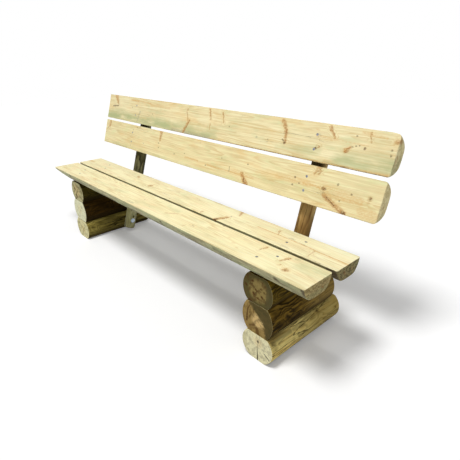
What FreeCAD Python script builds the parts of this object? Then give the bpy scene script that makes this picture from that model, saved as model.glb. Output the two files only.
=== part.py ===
import FreeCAD, Part
import math
import os

# Rustic log bench: two stacks of three flatted logs carry two half-log seat planks. A round
# post leans back, housed in the inner side of each stack, and carries two half-log back rails.
# Millimetres. X runs along the bench, the sitter looks along -Y, and Z is up. The origin is
# on the ground, in the middle of the overall length and depth.

Vector = FreeCAD.Vector

# Overall placing, measured back from the front edge of the seat
origin_setback = 285.65
log_setback = 26.0
lean_foot_setback = 193.4
lean_angle = 17.4

# Log stacks
stack_centre_x = 771.0
log_radius = 79.0
log_length = 444.0
bottom_log_height = 121.0
middle_log_height = 134.0
top_log_height = 120.0
log_wander = 12.0

# Half-log slabs for the seat and the back
slab_radius = 76.5
slab_pith_offset = 10.0
seat_slab_thickness = 56.0
back_slab_thickness = 58.0
front_plank_length = 1993.0
front_plank_shift = -6.5
front_plank_setback = 77.5
rear_plank_length = 2004.0
rear_plank_shift = -6.0
rear_plank_setback = 244.5
rail_length = 2016.0
rail_pitch = 165.0
upper_rail_drop = 58.7
end_corner_radius = 8.0
run_out_length = 170.0
run_out_depth = 26.0
run_out_radius = 153.0

# Posts
post_radius = 34.5
post_length = 815.0
post_foot_reach = 54.0
post_flat_depth = 2.5
post_bevel = 3.0
right_post_x = 670.0
left_post_x = -664.0

# Countersunk wood screws
screw_head_radius = 5.4
screw_head_height = 4.6
screw_shank_radius = 2.9
screw_point_height = 7.0
screw_point_radius = 0.6
screw_sink = 0.8
seat_screw_length = 115.0
rail_screw_length = 100.0
rail_screw_half_pitch = 28.5
right_rail_screw_x = 684.0
left_rail_screw_x = -659.0
seat_screw_inner_x = 741.0
seat_screw_outer_x = 790.0
seat_screw_near_offset = 24.0
seat_screw_far_offset = 31.0

# Coach screws through the posts into the logs, with washers
coach_shank_radius = 5.8
coach_screw_length = 112.0
coach_point_height = 10.0
coach_point_radius = 1.5
coach_head_across_flats = 18.0
coach_head_height = 7.5
lower_coach_screw_z = 75.0
upper_coach_screw_z = 190.0
washer_outer_radius = 15.0
washer_inner_radius = 6.4
washer_thickness = 2.5
spot_face_radius = 16.5
spot_face_depth = 5.5

# Spare bolt hole in each post, above the lower coach screw
spare_hole_radius = 8.0
spare_hole_depth = 26.0
spare_hole_z = 102.0

# Hidden steel pins that tie the three logs of a stack together
pin_radius = 6.0
pin_length = 330.0
pin_drop = 18.0
front_pin_setback = 140.0
rear_pin_setback = 300.0

# Fits
fastener_clearance = 0.2
post_clearance = 0.3

# Each log as shares: half width at the front and the rear against the log radius, sideways
# place at the front and the rear against the wander, and length against the log length
log_shares = {
    ("right", "bottom"): (1.00, 1.03, 0.50, 0.30, 1.00),
    ("right", "middle"): (0.98, 0.99, 0.25, 0.10, 0.89),
    ("right", "top"): (0.94, 0.97, 0.15, 0.20, 0.83),
    ("left", "bottom"): (1.07, 1.10, 0.35, 0.90, 1.01),
    ("left", "middle"): (1.05, 1.04, -0.10, 0.75, 0.94),
    ("left", "top"): (1.01, 1.02, -0.70, 0.55, 0.86),
}
# Each level as shares of its height: where the log is widest, and the radius of its round sides
level_shares = {"bottom": (0.53, 0.60), "middle": (0.50, 0.705), "top": (0.485, 0.67)}

# Half widths of a slab as shares of its radius: left end and right end of the near side, then
# of the far side
front_plank_shares = (1.01, 1.02, 1.01, 1.015)
rear_plank_shares = (1.01, 0.98, 1.01, 0.97)
lower_rail_shares = (1.00, 0.995, 1.00, 1.005)
upper_rail_shares = (1.00, 0.99, 1.00, 0.985)

# Roundness of a slab's end corners as shares: left near, left far, right near, right far
plank_corner_shares = (1.0, 0.8, 0.6, 1.0)
lower_rail_corner_shares = (0.5, 0.5, 1.4, 0.9)
upper_rail_corner_shares = (0.5, 0.5, 1.2, 2.4)

# Flat sides on what is round and small
fastener_sides = 12
washer_sides = 24

# Sizes that follow from the ones above
level_names = ("bottom", "middle", "top")
level_heights = {"bottom": bottom_log_height, "middle": middle_log_height, "top": top_log_height}
level_bases = {"bottom": 0, "middle": bottom_log_height, "top": bottom_log_height + middle_log_height}
stack_height = bottom_log_height + middle_log_height + top_log_height
seat_height = stack_height + seat_slab_thickness
post_axis_offset = back_slab_thickness + post_radius - post_flat_depth
upper_rail_reach = post_foot_reach + post_length - upper_rail_drop
lower_rail_reach = upper_rail_reach - rail_pitch
coach_screw_heights = (lower_coach_screw_z, upper_coach_screw_z)
pin_setbacks = (front_pin_setback, rear_pin_setback)
side_signs = {"left": -1, "right": 1}
post_places = {"left": left_post_x, "right": right_post_x}
rail_screw_places = {"left": left_rail_screw_x, "right": right_rail_screw_x}
lean = math.radians(lean_angle)


def from_front(setback):
    """Y of a place that lies this far behind the front edge of the seat."""
    return setback - origin_setback


def box(low, high):
    """A box between two corners."""
    size = high.sub(low)
    return Part.makeBox(size.x, size.y, size.z, low)


def rotated(shape, axis, angle):
    """A copy turned about an axis through the origin, in degrees."""
    turned = shape.copy()
    turned.rotate(Vector(0, 0, 0), axis, angle)
    return turned


def moved(shape, x, y, z):
    """A copy shifted by these distances."""
    shifted = shape.copy()
    shifted.translate(Vector(x, y, z))
    return shifted


def joined(shapes):
    """One solid of pieces that touch, without the seams between them."""
    return shapes[0].fuse(shapes[1:]).removeSplitter()


def on_seat(shape, setback):
    """Move a shape from slab coordinates onto the seat."""
    return moved(shape, 0, from_front(setback), seat_height)


def on_back(shape, reach):
    """Move a shape from slab coordinates to its place up the leaning back."""
    tilted = rotated(shape, Vector(1, 0, 0), 90 - lean_angle)
    place_y = from_front(lean_foot_setback) + reach * math.sin(lean)
    return moved(tilted, 0, place_y, reach * math.cos(lean))


def on_post(shape, post_x):
    """Move a shape from upright post coordinates, foot at the origin, to its leaning place."""
    tilted = rotated(shape, Vector(1, 0, 0), -lean_angle)
    foot_y = post_foot_reach * math.sin(lean) + post_axis_offset * math.cos(lean)
    foot_z = post_foot_reach * math.cos(lean) - post_axis_offset * math.sin(lean)
    return moved(tilted, post_x, from_front(lean_foot_setback) + foot_y, foot_z)


def post_axis_y(height):
    """Y of the post's axis at a height above the ground."""
    reach = (height + post_axis_offset * math.sin(lean)) / math.cos(lean)
    return from_front(lean_foot_setback) + reach * math.sin(lean) + post_axis_offset * math.cos(lean)


def turned_solid(profile):
    """A solid of revolution about Z from (radius, height) points."""
    points = [Vector(radius, 0, height) for radius, height in profile]
    face = Part.Face(Part.makePolygon(points + points[:1]))
    return face.revolve(Vector(0, 0, 0), Vector(0, 0, 1), 360)


def faceted_solid(profile, sides):
    """A flat-sided solid about Z through (radius, height) points, none of them on the axis."""
    rings = []
    for radius, height in profile:
        ring = []
        for step in range(sides):
            angle = 2 * math.pi * (step + 0.5) / sides
            ring.append(Vector(radius * math.cos(angle), radius * math.sin(angle), height))
        rings.append(ring)
    outlines = [rings[0], rings[-1]]
    for lower, upper in zip(rings, rings[1:]):
        for step in range(sides):
            outlines.append([lower[step - 1], lower[step], upper[step], upper[step - 1]])
    faces = [Part.Face(Part.makePolygon(corners + corners[:1])) for corners in outlines]
    return Part.Solid(Part.Shell(faces))


def bar(radius, low, high, sides):
    """A straight flat-sided bar about Z."""
    return faceted_solid(((radius, low), (radius, high)), sides)


def round_side(length, low, high, widest, radius, start_reach, end_reach):
    """What lies within one round side of a log or slab along X. The side faces +Y."""
    arc_points = []
    for height in (low, (low + high) / 2, high):
        arc_points.append(Vector(0, math.sqrt(radius ** 2 - (height - widest) ** 2) - radius, height))
    back = -3 * radius
    rest = Part.makePolygon([arc_points[2], Vector(0, back, high), Vector(0, back, low), arc_points[0]])
    face = Part.Face(Part.Wire([Part.Arc(*arc_points).toShape()] + rest.Edges))
    body = moved(face.extrude(Vector(length + 2 * radius, 0, 0)), -radius, 0, 0)
    slant = math.degrees(math.atan2(end_reach - start_reach, length))
    return moved(rotated(body, Vector(0, 0, 1), slant), 0, start_reach, 0)


def flatted_round(length, low, high, widest, radius, near_reaches, far_reaches):
    """A log or slab along X with round sides, flat above and below, and square ends."""
    far_side = round_side(length, low, high, widest, radius, *far_reaches)
    near_side = round_side(length, low, high, widest, radius, *near_reaches)
    near_side = near_side.mirror(Vector(0, 0, 0), Vector(0, 1, 0))
    ends = box(Vector(0, -2 * radius, low), Vector(length, 2 * radius, high))
    return far_side.common(near_side).common(ends)


def post_blank(clearance):
    """The round post before its holes, upright on the origin, or the space that it needs."""
    radius = post_radius + clearance
    profile = (
        (0, 0), (radius - post_bevel, 0), (radius, post_bevel),
        (radius, post_length - post_bevel), (radius - post_bevel, post_length), (0, post_length),
    )
    return turned_solid(profile)


def log_blank(side, level):
    """One flatted log of a stack, with the hollow that houses the post."""
    front_share, rear_share, front_place, rear_place, length_share = log_shares[(side, level)]
    widest_share, radius_share = level_shares[level]
    height = level_heights[level]
    reaches = {}
    for sign in (-1, 1):
        front = log_radius * front_share + sign * side_signs[side] * log_wander * front_place
        rear = log_radius * rear_share + sign * side_signs[side] * log_wander * rear_place
        reaches[sign] = (front, rear)
    length = log_length * length_share
    widest = height * widest_share
    log = flatted_round(length, 0, height, widest, height * radius_share, reaches[1], reaches[-1])
    centre_x = side_signs[side] * stack_centre_x
    log = moved(rotated(log, Vector(0, 0, 1), 90), centre_x, from_front(log_setback), level_bases[level])
    return log.cut(on_post(post_blank(post_clearance), post_places[side]))


def corner_waste(end_x, edge_y, radius):
    """What a rounded end corner takes off a slab."""
    sign_x = math.copysign(1, end_x)
    sign_y = math.copysign(1, edge_y)
    centre_x = end_x - sign_x * radius
    centre_y = edge_y - sign_y * radius
    outer_x = end_x + sign_x * radius
    outer_y = edge_y + sign_y * radius
    low = Vector(min(centre_x, outer_x), min(centre_y, outer_y), -slab_radius)
    high = Vector(max(centre_x, outer_x), max(centre_y, outer_y), slab_radius)
    keep = Part.makeCylinder(radius, high.z - low.z, Vector(centre_x, centre_y, low.z))
    return box(low, high).cut(keep)


def run_out_waste(end_x):
    """What the log's natural run-out takes off the underside of a plank near its left end."""
    slope = math.degrees(math.atan2(run_out_depth, run_out_length))
    start = Vector(-run_out_length, 0, 0)
    keep = Part.makeCylinder(run_out_radius, 3 * run_out_length, start, Vector(1, 0, 0))
    keep = rotated(keep, Vector(0, 1, 0), slope)
    keep = moved(keep, end_x, 0, run_out_radius + run_out_depth - seat_slab_thickness)
    low = Vector(end_x, -2 * slab_radius, -seat_slab_thickness)
    high = Vector(end_x + run_out_length, 2 * slab_radius, 0)
    return box(low, high).cut(keep)


def slab(length, shift, thickness, width_shares, corner_shares):
    """A half-log slab along X: the sawn face looks up at z = 0, the round side looks down."""
    reaches = [slab_radius * share for share in width_shares]
    body = flatted_round(length, -thickness, 0, slab_pith_offset, slab_radius, reaches[:2], reaches[2:])
    left = shift - length / 2
    right = shift + length / 2
    body = moved(body, left, 0, 0)
    sawn_edge = slab_radius - math.sqrt(slab_radius ** 2 - slab_pith_offset ** 2)
    corners = ((left, -reaches[0]), (left, reaches[2]), (right, -reaches[1]), (right, reaches[3]))
    for (end_x, reach_y), corner_share in zip(corners, corner_shares):
        edge_y = reach_y - math.copysign(sawn_edge, reach_y)
        body = body.cut(corner_waste(end_x, edge_y, end_corner_radius * corner_share))
    return body


def screw(length):
    """A countersunk wood screw that points down, its head flush with z = 0."""
    profile = (
        (screw_point_radius, -length), (screw_shank_radius, screw_point_height - length),
        (screw_shank_radius, -screw_head_height), (screw_head_radius, 0),
    )
    return faceted_solid(profile, fastener_sides)


def screw_hole(length):
    """The countersunk hole that a screw needs."""
    head = screw_head_radius + fastener_clearance
    shank = screw_shank_radius + fastener_clearance
    profile = (
        (shank, -length - fastener_clearance), (shank, -screw_head_height), (head, 0), (head, screw_sink),
    )
    return faceted_solid(profile, fastener_sides)


def seat_screw_points(side):
    """Places of the two screws that hold one plank to one stack, in slab coordinates."""
    sign = side_signs[side]
    return (
        (sign * seat_screw_inner_x, -seat_screw_near_offset),
        (sign * seat_screw_outer_x, seat_screw_far_offset),
    )


def rail_screw_points(side):
    """Places of the two screws that hold one rail to one post, in slab coordinates."""
    return tuple((rail_screw_places[side], sign * rail_screw_half_pitch) for sign in (-1, 1))


def placed_screws(shape, points, place, distance):
    """Copies of a screw, or of its hole, sunk into a slab at each point."""
    return [place(moved(shape, x, y, -screw_sink), distance) for x, y in points]


def facing_x(shape):
    """A shape made along +Z, turned to run along +X."""
    return rotated(shape, Vector(0, 1, 0), 90)


def coach_screw():
    """A hexagon-headed coach screw along +X: its washer lies on the plane x = 0."""
    head_radius = coach_head_across_flats / math.sqrt(3)
    head = bar(head_radius, -washer_thickness - coach_head_height, -washer_thickness, 6)
    point_start = coach_screw_length - coach_point_height
    profile = (
        (coach_shank_radius, -washer_thickness), (coach_shank_radius, point_start),
        (coach_point_radius, coach_screw_length),
    )
    return facing_x(joined([head, faceted_solid(profile, fastener_sides)]))


def coach_screw_hole():
    """The hole that a coach screw's shank needs, along +X from the plane x = 0."""
    radius = coach_shank_radius + fastener_clearance
    return facing_x(bar(radius, 0, coach_screw_length + fastener_clearance, fastener_sides))


def washer():
    """A flat washer against the plane x = 0."""
    disc = bar(washer_outer_radius, -washer_thickness, 0, washer_sides)
    hole = bar(washer_inner_radius, -washer_thickness, 0, fastener_sides)
    return facing_x(disc.cut(hole))


def spot_face():
    """The flat-bottomed hollow in a post that seats a washer on the plane x = 0."""
    return facing_x(bar(spot_face_radius, -post_radius, 0, washer_sides))


def spare_hole():
    """The blind hole of a spare bolt, bored along +X into a post around the plane x = 0."""
    depth = spare_hole_depth - spot_face_depth
    return facing_x(bar(spare_hole_radius, -post_radius, depth, fastener_sides))


def on_inner_side(shape, side, heights):
    """Copies of a shape made along +X, seated on the inner side of one post at each height."""
    sign = side_signs[side]
    facing = shape if sign > 0 else rotated(shape, Vector(0, 0, 1), 180)
    seat_x = post_places[side] - sign * (post_radius - spot_face_depth)
    return [moved(facing, seat_x, post_axis_y(height), height) for height in heights]


def pin_points(side):
    """Places of the pins of one stack."""
    return [(side_signs[side] * stack_centre_x, from_front(setback)) for setback in pin_setbacks]


def placed_pins(side):
    """The steel pins that are driven down through one stack."""
    foot = stack_height - pin_drop - pin_length
    pin = bar(pin_radius, 0, pin_length, fastener_sides)
    return [moved(pin, x, y, foot) for x, y in pin_points(side)]


def pin_holes(side):
    """The holes for the pins, open at the top of the stack."""
    foot = stack_height - pin_drop - pin_length - fastener_clearance
    radius = pin_radius + fastener_clearance
    hole = bar(radius, foot, stack_height, fastener_sides)
    return [moved(hole, x, y, 0) for x, y in pin_points(side)]


def save(name, shapes):
    """Write one node as a group of separate solids."""
    solids = [solid for shape in shapes for solid in shape.Solids]
    group = solids[0] if len(solids) == 1 else Part.makeCompound(solids)
    group.exportStep("parts/" + name + ".step")


os.makedirs("parts", exist_ok=True)

planks = {
    "front": (front_plank_length, front_plank_shift, front_plank_shares, front_plank_setback),
    "rear": (rear_plank_length, rear_plank_shift, rear_plank_shares, rear_plank_setback),
}
rails = {
    "lower": (lower_rail_shares, lower_rail_corner_shares, lower_rail_reach),
    "upper": (upper_rail_shares, upper_rail_corner_shares, upper_rail_reach),
}
seat_screw = screw(seat_screw_length)
seat_screw_hole = screw_hole(seat_screw_length)
rail_screw = screw(rail_screw_length)
rail_screw_hole = screw_hole(rail_screw_length)

# Seat planks and their screws
seat_holes = {"left": [], "right": []}
for row, (length, shift, width_shares, setback) in planks.items():
    plank = slab(length, shift, seat_slab_thickness, width_shares, plank_corner_shares)
    if row == "front":
        plank = plank.cut(run_out_waste(shift - length / 2))
    plank = on_seat(plank, setback)
    for side in side_signs:
        points = seat_screw_points(side)
        holes = placed_screws(seat_screw_hole, points, on_seat, setback)
        seat_holes[side] += holes
        plank = plank.cut(holes)
        save("seat_screws_" + row + "_" + side, placed_screws(seat_screw, points, on_seat, setback))
    save("seat_plank_" + row, [plank])

# Back rails and their screws
rail_holes = {"left": [], "right": []}
for row, (width_shares, corner_shares, reach) in rails.items():
    rail = slab(rail_length, 0, back_slab_thickness, width_shares, corner_shares)
    rail = on_back(rail, reach)
    for side in side_signs:
        points = rail_screw_points(side)
        holes = placed_screws(rail_screw_hole, points, on_back, reach)
        rail_holes[side] += holes
        rail = rail.cut(holes)
        save("rail_screws_" + row + "_" + side, placed_screws(rail_screw, points, on_back, reach))
    save("back_rail_" + row, [rail])

# Posts, coach screws, logs and pins of each side
rail_seat_foot = lower_rail_reach - 1.5 * slab_radius - post_foot_reach
rail_seat = box(
    Vector(-2 * post_radius, -2 * post_radius, rail_seat_foot),
    Vector(2 * post_radius, post_flat_depth - post_radius, 2 * post_length),
)
for side in side_signs:
    coach_holes = on_inner_side(coach_screw_hole(), side, coach_screw_heights)
    hollows = on_inner_side(spot_face(), side, coach_screw_heights)
    hollows += on_inner_side(spare_hole(), side, [spare_hole_z])
    post = on_post(post_blank(0).cut(rail_seat), post_places[side])
    save("post_" + side, [post.cut(coach_holes + hollows + rail_holes[side])])
    save("post_screws_" + side, on_inner_side(coach_screw(), side, coach_screw_heights))
    save("post_washers_" + side, on_inner_side(washer(), side, coach_screw_heights))
    save("stack_pins_" + side, placed_pins(side))
    for level in level_names:
        holes = coach_holes + pin_holes(side) + seat_holes[side]
        save("log_" + side + "_" + level, [log_blank(side, level).cut(holes)])
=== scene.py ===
import math

import bmesh
import bpy
import numpy as np
from mathutils import Euler, Matrix, Vector


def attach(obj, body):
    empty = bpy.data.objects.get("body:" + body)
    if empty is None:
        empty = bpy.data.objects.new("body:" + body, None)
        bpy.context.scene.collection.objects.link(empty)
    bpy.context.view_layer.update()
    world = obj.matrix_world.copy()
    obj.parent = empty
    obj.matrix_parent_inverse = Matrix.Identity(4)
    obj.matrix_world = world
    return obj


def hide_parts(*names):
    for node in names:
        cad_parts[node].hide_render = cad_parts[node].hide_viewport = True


# The visual model of a rustic log bench. Sizes and places are millimetres in the frame of the
# CAD part, and become metres when a mesh is made. X runs along the bench and -Y is the front.

# Places and sizes, as in the part
millimetre = 0.001
origin_setback = 285.65
seat_height = 431.0
log_setback = 26.0
stack_centre_x = 771.0
log_radius = 79.0
log_length = 444.0
log_wander = 12.0
slab_radius = 76.5
slab_pith_offset = 10.0
plank_thickness = 56.0
rail_thickness = 58.0
rail_length = 2016.0
lean_angle = 17.4
lean_foot_setback = 193.4
lower_rail_reach = 645.3
upper_rail_reach = 810.3
post_radius = 34.5
post_length = 815.0
post_foot_reach = 54.0
post_axis_offset = 90.0
post_places = {"left": -664.0, "right": 670.0}
side_signs = {"left": -1, "right": 1}
seat_screw_end = 115.0
rail_screw_end = 100.0
screw_sink = 0.8
coach_screw_heights = (75.0, 190.0)
spare_hole_height = 102.0
spot_face_depth = 5.5
# radius and depth below the spot face
coach_hole = (6.0, 112.5)
spot_face = (16.5, 0.0)
spare_hole = (8.0, 20.5)
pin_setbacks = (140.0, 300.0)
pin_hole_radius = 6.2
pin_hole_ends = (26.8, 376.0)
level_bases = {"bottom": 0.0, "middle": 121.0, "top": 255.0}
level_heights = {"bottom": 121.0, "middle": 134.0, "top": 120.0}
level_shapes = {"bottom": (0.53, 0.60), "middle": (0.50, 0.705), "top": (0.485, 0.67)}
lean = math.radians(lean_angle)

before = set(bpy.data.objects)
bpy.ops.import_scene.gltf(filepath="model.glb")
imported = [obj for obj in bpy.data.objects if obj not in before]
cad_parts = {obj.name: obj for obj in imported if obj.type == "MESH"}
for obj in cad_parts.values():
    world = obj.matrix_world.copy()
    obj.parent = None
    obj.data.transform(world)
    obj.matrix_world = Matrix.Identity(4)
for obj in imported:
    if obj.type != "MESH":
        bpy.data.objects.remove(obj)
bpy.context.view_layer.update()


# ---- Node trees ----

class Amount:
    """A number, vector or colour inside a node tree, so that sums can be written plainly."""

    def __init__(self, tree, socket):
        self.tree = tree
        self.socket = socket

    def math(self, operation, *others):
        return add_node(self.tree, "ShaderNodeMath", (self,) + others, operation=operation)

    def vector_math(self, operation, *others, output=0):
        node = "ShaderNodeVectorMath"
        return add_node(self.tree, node, (self,) + others, output, operation=operation)

    def __add__(self, other):
        return self.math("ADD", other)

    def __sub__(self, other):
        return self.math("SUBTRACT", other)

    def __mul__(self, other):
        return self.math("MULTIPLY", other)

    def __truediv__(self, other):
        return self.math("DIVIDE", other)

    def parts(self):
        """The three numbers of a vector."""
        node = add_node(self.tree, "ShaderNodeSeparateXYZ", (self,)).socket.node
        return [Amount(self.tree, socket) for socket in node.outputs]

    def fade(self, start, end):
        """0 up to the start, 1 from the end, and a smooth rise between them."""
        inputs = {"Value": self, "From Min": start, "From Max": end}
        return add_node(self.tree, "ShaderNodeMapRange", inputs, interpolation_type="SMOOTHSTEP")


def add_node(tree, kind, inputs=(), output=0, **settings):
    """Add a node, set it, and link or set its inputs, given in order or by name."""
    node = tree.nodes.new(kind)
    for name, value in settings.items():
        setattr(node, name, value)
    for key, value in inputs.items() if isinstance(inputs, dict) else enumerate(inputs):
        if isinstance(value, Amount):
            tree.links.new(value.socket, node.inputs[key])
        else:
            node.inputs[key].default_value = value
    return Amount(tree, node.outputs[output])


def vector_of(tree, x, y, z):
    return add_node(tree, "ShaderNodeCombineXYZ", (x, y, z))


def noise(tree, where, detail=2.0, roughness=0.5, output=0):
    """Noise whose patches are about one unit of the given vector across."""
    inputs = {"Vector": where, "Scale": 1.0, "Detail": detail, "Roughness": roughness}
    return add_node(tree, "ShaderNodeTexNoise", inputs, output)


def blend(tree, share, first, second):
    """Mix two colours."""
    return add_node(tree, "ShaderNodeMix", {0: share, 6: first, 7: second}, 2, data_type="RGBA")


def layered(tree, colour, *layers):
    """A colour with others laid over it in turn, each given after its share."""
    for share, over in layers:
        colour = blend(tree, share, colour, over)
    return colour


def new_group(kind, name, inputs, outputs):
    """A node group. Each input is given as a kind of socket, or as the number it starts with.

    Returns the tree and its inputs as amounts.
    """
    tree = bpy.data.node_groups.new(name, kind)
    for label, given in inputs.items():
        socket = given if isinstance(given, str) else {int: "Int", float: "Float"}[type(given)]
        made = tree.interface.new_socket(name=label, in_out="INPUT", socket_type="NodeSocket" + socket)
        if not isinstance(given, str):
            made.default_value = given
    for label, socket in outputs.items():
        tree.interface.new_socket(name=label, in_out="OUTPUT", socket_type="NodeSocket" + socket)
    entry = tree.nodes.new("NodeGroupInput")
    tree.nodes.new("NodeGroupOutput")
    return tree, {label: Amount(tree, entry.outputs[label]) for label in inputs}


def put_out(tree, **results):
    """Link a group's results to its outputs."""
    end = next(node for node in tree.nodes if node.bl_idname == "NodeGroupOutput")
    for label, amount in results.items():
        tree.links.new(amount.socket, end.inputs[label.replace("_", " ")])


def use_group(tree, group, inputs):
    """Place a shader group and return its outputs by name."""
    node = add_node(tree, "ShaderNodeGroup", inputs, node_tree=group).socket.node
    return {socket.name: Amount(tree, socket) for socket in node.outputs}


def rgb(red, green, blue):
    """A colour as a node needs it, from the 0 to 255 values of a picture."""
    channels = [channel / 255 for channel in (red, green, blue)]
    return tuple(c / 12.92 if c < 0.04045 else ((c + 0.055) / 1.055) ** 2.4 for c in channels) + (1.0,)


# ---- Effects that several finishes share ----

def make_growth_rings():
    """Growth rings round a pith along X: how far each point is in its ring, and late wood."""
    tree, take = new_group(
        "ShaderNodeTree", "growth rings",
        {"Position": "Vector", "Ring Width": 4.0, "Wander": 4.0, "Push": 0.0, "Seed": 0.0},
        {"Late Wood": "Float", "Radius": "Float"},
    )
    x, y, z = take["Position"].parts()
    slow = vector_of(tree, x * 0.0016 + take["Seed"], y * 0.012, z * 0.012)
    quick = vector_of(tree, x * 0.011, y * 0.03 + take["Seed"], z * 0.03)
    wander = (noise(tree, slow, 1.0) - 0.5) * 3.0 + (noise(tree, quick, 2.0) - 0.5) * 0.7
    across = vector_of(tree, 0.0, y, z).vector_math("LENGTH", output=1)
    radius = across + wander * take["Wander"] + take["Push"]
    turns = radius / take["Ring Width"]
    share = turns.math("FRACT")
    number = turns.math("FLOOR")
    strength = add_node(tree, "ShaderNodeTexWhiteNoise", {"W": number}, noise_dimensions="1D")
    late = share.fade(0.35, 0.93) * share.fade(1.0, 0.95) * (strength * 0.6 + 0.4)
    put_out(tree, Late_Wood=late, Radius=radius)
    return tree


def make_fibres():
    """Fine fibres and broader streaks that run along X."""
    tree, take = new_group(
        "ShaderNodeTree", "wood fibres",
        {"Position": "Vector", "Length": 60.0, "Width": 1.2, "Seed": 0.0},
        {"Fibre": "Float", "Streak": "Float"},
    )
    x, y, z = take["Position"].parts()
    along = x / take["Length"] + take["Seed"]
    fine = vector_of(tree, along, y / take["Width"], z / take["Width"])
    broad = vector_of(tree, along * 0.35, y / take["Width"] * 0.14, z / take["Width"] * 0.14)
    put_out(tree, Fibre=noise(tree, fine, 3.0, 0.6), Streak=noise(tree, broad, 3.0, 0.6))
    return tree


def make_grain_figure():
    """Long flowing lines along X that close round knots, where a cut crosses the growth rings."""
    tree, take = new_group(
        "ShaderNodeTree", "grain figure",
        {"Position": "Vector", "Length": 420.0, "Width": 26.0, "Count": 16.0, "Push": 0.0, "Seed": 0.0},
        {"Line": "Float"},
    )
    x, y, z = take["Position"].parts()
    along = x / take["Length"] + take["Seed"]
    spread = vector_of(tree, along, y / take["Width"], z / take["Width"])
    turns = noise(tree, spread, 1.5, 0.35) * take["Count"] + take["Push"]
    share = turns.math("FRACT")
    line = share.fade(0.2, 0.88) * share.fade(1.0, 0.93)
    patch = vector_of(tree, along * 2.3, y / take["Width"] * 0.7, z / take["Width"] * 0.7)
    put_out(tree, Line=line * noise(tree, patch, 2.0).fade(0.3, 0.6))
    return tree


def make_wood_mark():
    """One mark in the wood, such as a knot, spike or split: a rod of wood from one point to
    another that tapers. Gives the mark, its darker rim, and the wood near it."""
    tree, take = new_group(
        "ShaderNodeTree", "wood mark",
        {"Position": "Vector", "Start": "Vector", "End": "Vector", "Start Radius": 5.0,
         "End Radius": 3.0, "Softness": 1.5, "Strength": 1.0, "Reach": 16.0},
        {"Mark": "Float", "Rim": "Float", "Near": "Float"},
    )
    reach = take["Position"].vector_math("SUBTRACT", take["Start"])
    rod = take["End"].vector_math("SUBTRACT", take["Start"])
    squared = rod.vector_math("DOT_PRODUCT", rod, output=1) + 0.01
    along = reach.vector_math("DOT_PRODUCT", rod, output=1) / squared
    share = along.fade(0.0, 1.0)
    straight = add_node(tree, "ShaderNodeClamp", (along,))
    foot = add_node(tree, "ShaderNodeVectorMath", {0: rod, 3: straight}, operation="SCALE")
    away = reach.vector_math("SUBTRACT", foot)
    distance = away.vector_math("LENGTH", output=1)
    radius = take["Start Radius"] + (take["End Radius"] - take["Start Radius"]) * share
    below = away.vector_math("DOT_PRODUCT", (0.7, -0.7, 0.0), output=1) / radius
    outside = distance - radius
    mark = outside.fade(take["Softness"], take["Softness"] * -1.0) * take["Strength"]
    core = (outside + take["Softness"] * 2.0).fade(take["Softness"], take["Softness"] * -1.0)
    rim = mark * (core * -0.9 + 1.0) * (below.fade(-0.6, 0.7) * 0.7 + 0.3)
    near = outside.fade(take["Reach"], 0.0) * take["Strength"]
    put_out(tree, Mark=mark, Rim=rim, Near=near)
    return tree


def make_drying_cracks():
    """Thin dark checks that run along X, grouped in patches."""
    tree, take = new_group(
        "ShaderNodeTree", "drying cracks",
        {"Position": "Vector", "Length": 160.0, "Spacing": 14.0, "Width": 0.06, "Amount": 0.5,
         "Seed": 0.0},
        {"Crack": "Float"},
    )
    x, y, z = take["Position"].parts()
    spread = vector_of(tree, x / take["Length"] + take["Seed"], y / take["Spacing"], z / take["Spacing"])
    bent = spread.vector_math("ADD", noise(tree, spread, 3.0, 0.6, output=1))
    inputs = {"Vector": bent, "Scale": 1.0}
    lines = add_node(tree, "ShaderNodeTexVoronoi", inputs, feature="DISTANCE_TO_EDGE")
    patches = noise(tree, spread.vector_math("MULTIPLY", (0.8, 0.4, 0.4)), 1.0)
    here = patches.fade(take["Amount"] * -0.6 + 0.75, take["Amount"] * -0.6 + 0.85)
    put_out(tree, Crack=lines.fade(take["Width"], 0.0) * here)
    return tree


def make_weather_stain():
    """Soft patches of damp and algae."""
    tree, take = new_group(
        "ShaderNodeTree", "weather stain",
        {"Position": "Vector", "Size": 90.0, "Amount": 0.5, "Seed": 0.0},
        {"Stain": "Float"},
    )
    x, y, z = take["Position"].parts()
    spread = vector_of(tree, x / take["Size"] * 0.35 + take["Seed"], y / take["Size"], z / take["Size"])
    patches = noise(tree, spread, 4.0, 0.62)
    put_out(tree, Stain=patches.fade(take["Amount"] * -0.35 + 0.68, take["Amount"] * -0.35 + 0.95))
    return tree


growth_rings = make_growth_rings()
grain_figure = make_grain_figure()
wood_fibres = make_fibres()
wood_mark = make_wood_mark()
drying_cracks = make_drying_cracks()
weather_stain = make_weather_stain()


# ---- Finishes ----

def new_material(name):
    """A material with a bare shader. Returns it, its node tree and the shader."""
    material = bpy.data.materials.new(name)
    material.use_nodes = True
    tree = material.node_tree
    tree.nodes.clear()
    shader = tree.nodes.new("ShaderNodeBsdfPrincipled")
    end = tree.nodes.new("ShaderNodeOutputMaterial")
    tree.links.new(shader.outputs[0], end.inputs[0])
    return material, tree, shader


def piece_position(tree, turn, place):
    """Object coordinates in millimetres, turned and moved to a piece's own grain."""
    coordinates = add_node(tree, "ShaderNodeTexCoord", output="Object")
    inputs = {"Vector": coordinates, "Location": place, "Rotation": turn, "Scale": (1000, 1000, 1000)}
    return add_node(tree, "ShaderNodeMapping", inputs)


def shaken(tree, position, along, across, seed):
    """A position shaken by noise, more along the grain, so that drawn marks look grown."""
    x, y, z = position.parts()
    spread = vector_of(tree, x / 26.0 + seed, y / 9.0, z / 9.0)
    shake = noise(tree, spread, 3.0, 0.6, output=1).vector_math("SUBTRACT", (0.5, 0.5, 0.5))
    return position.vector_math("ADD", shake.vector_math("MULTIPLY", (along, across, across)))


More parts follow.
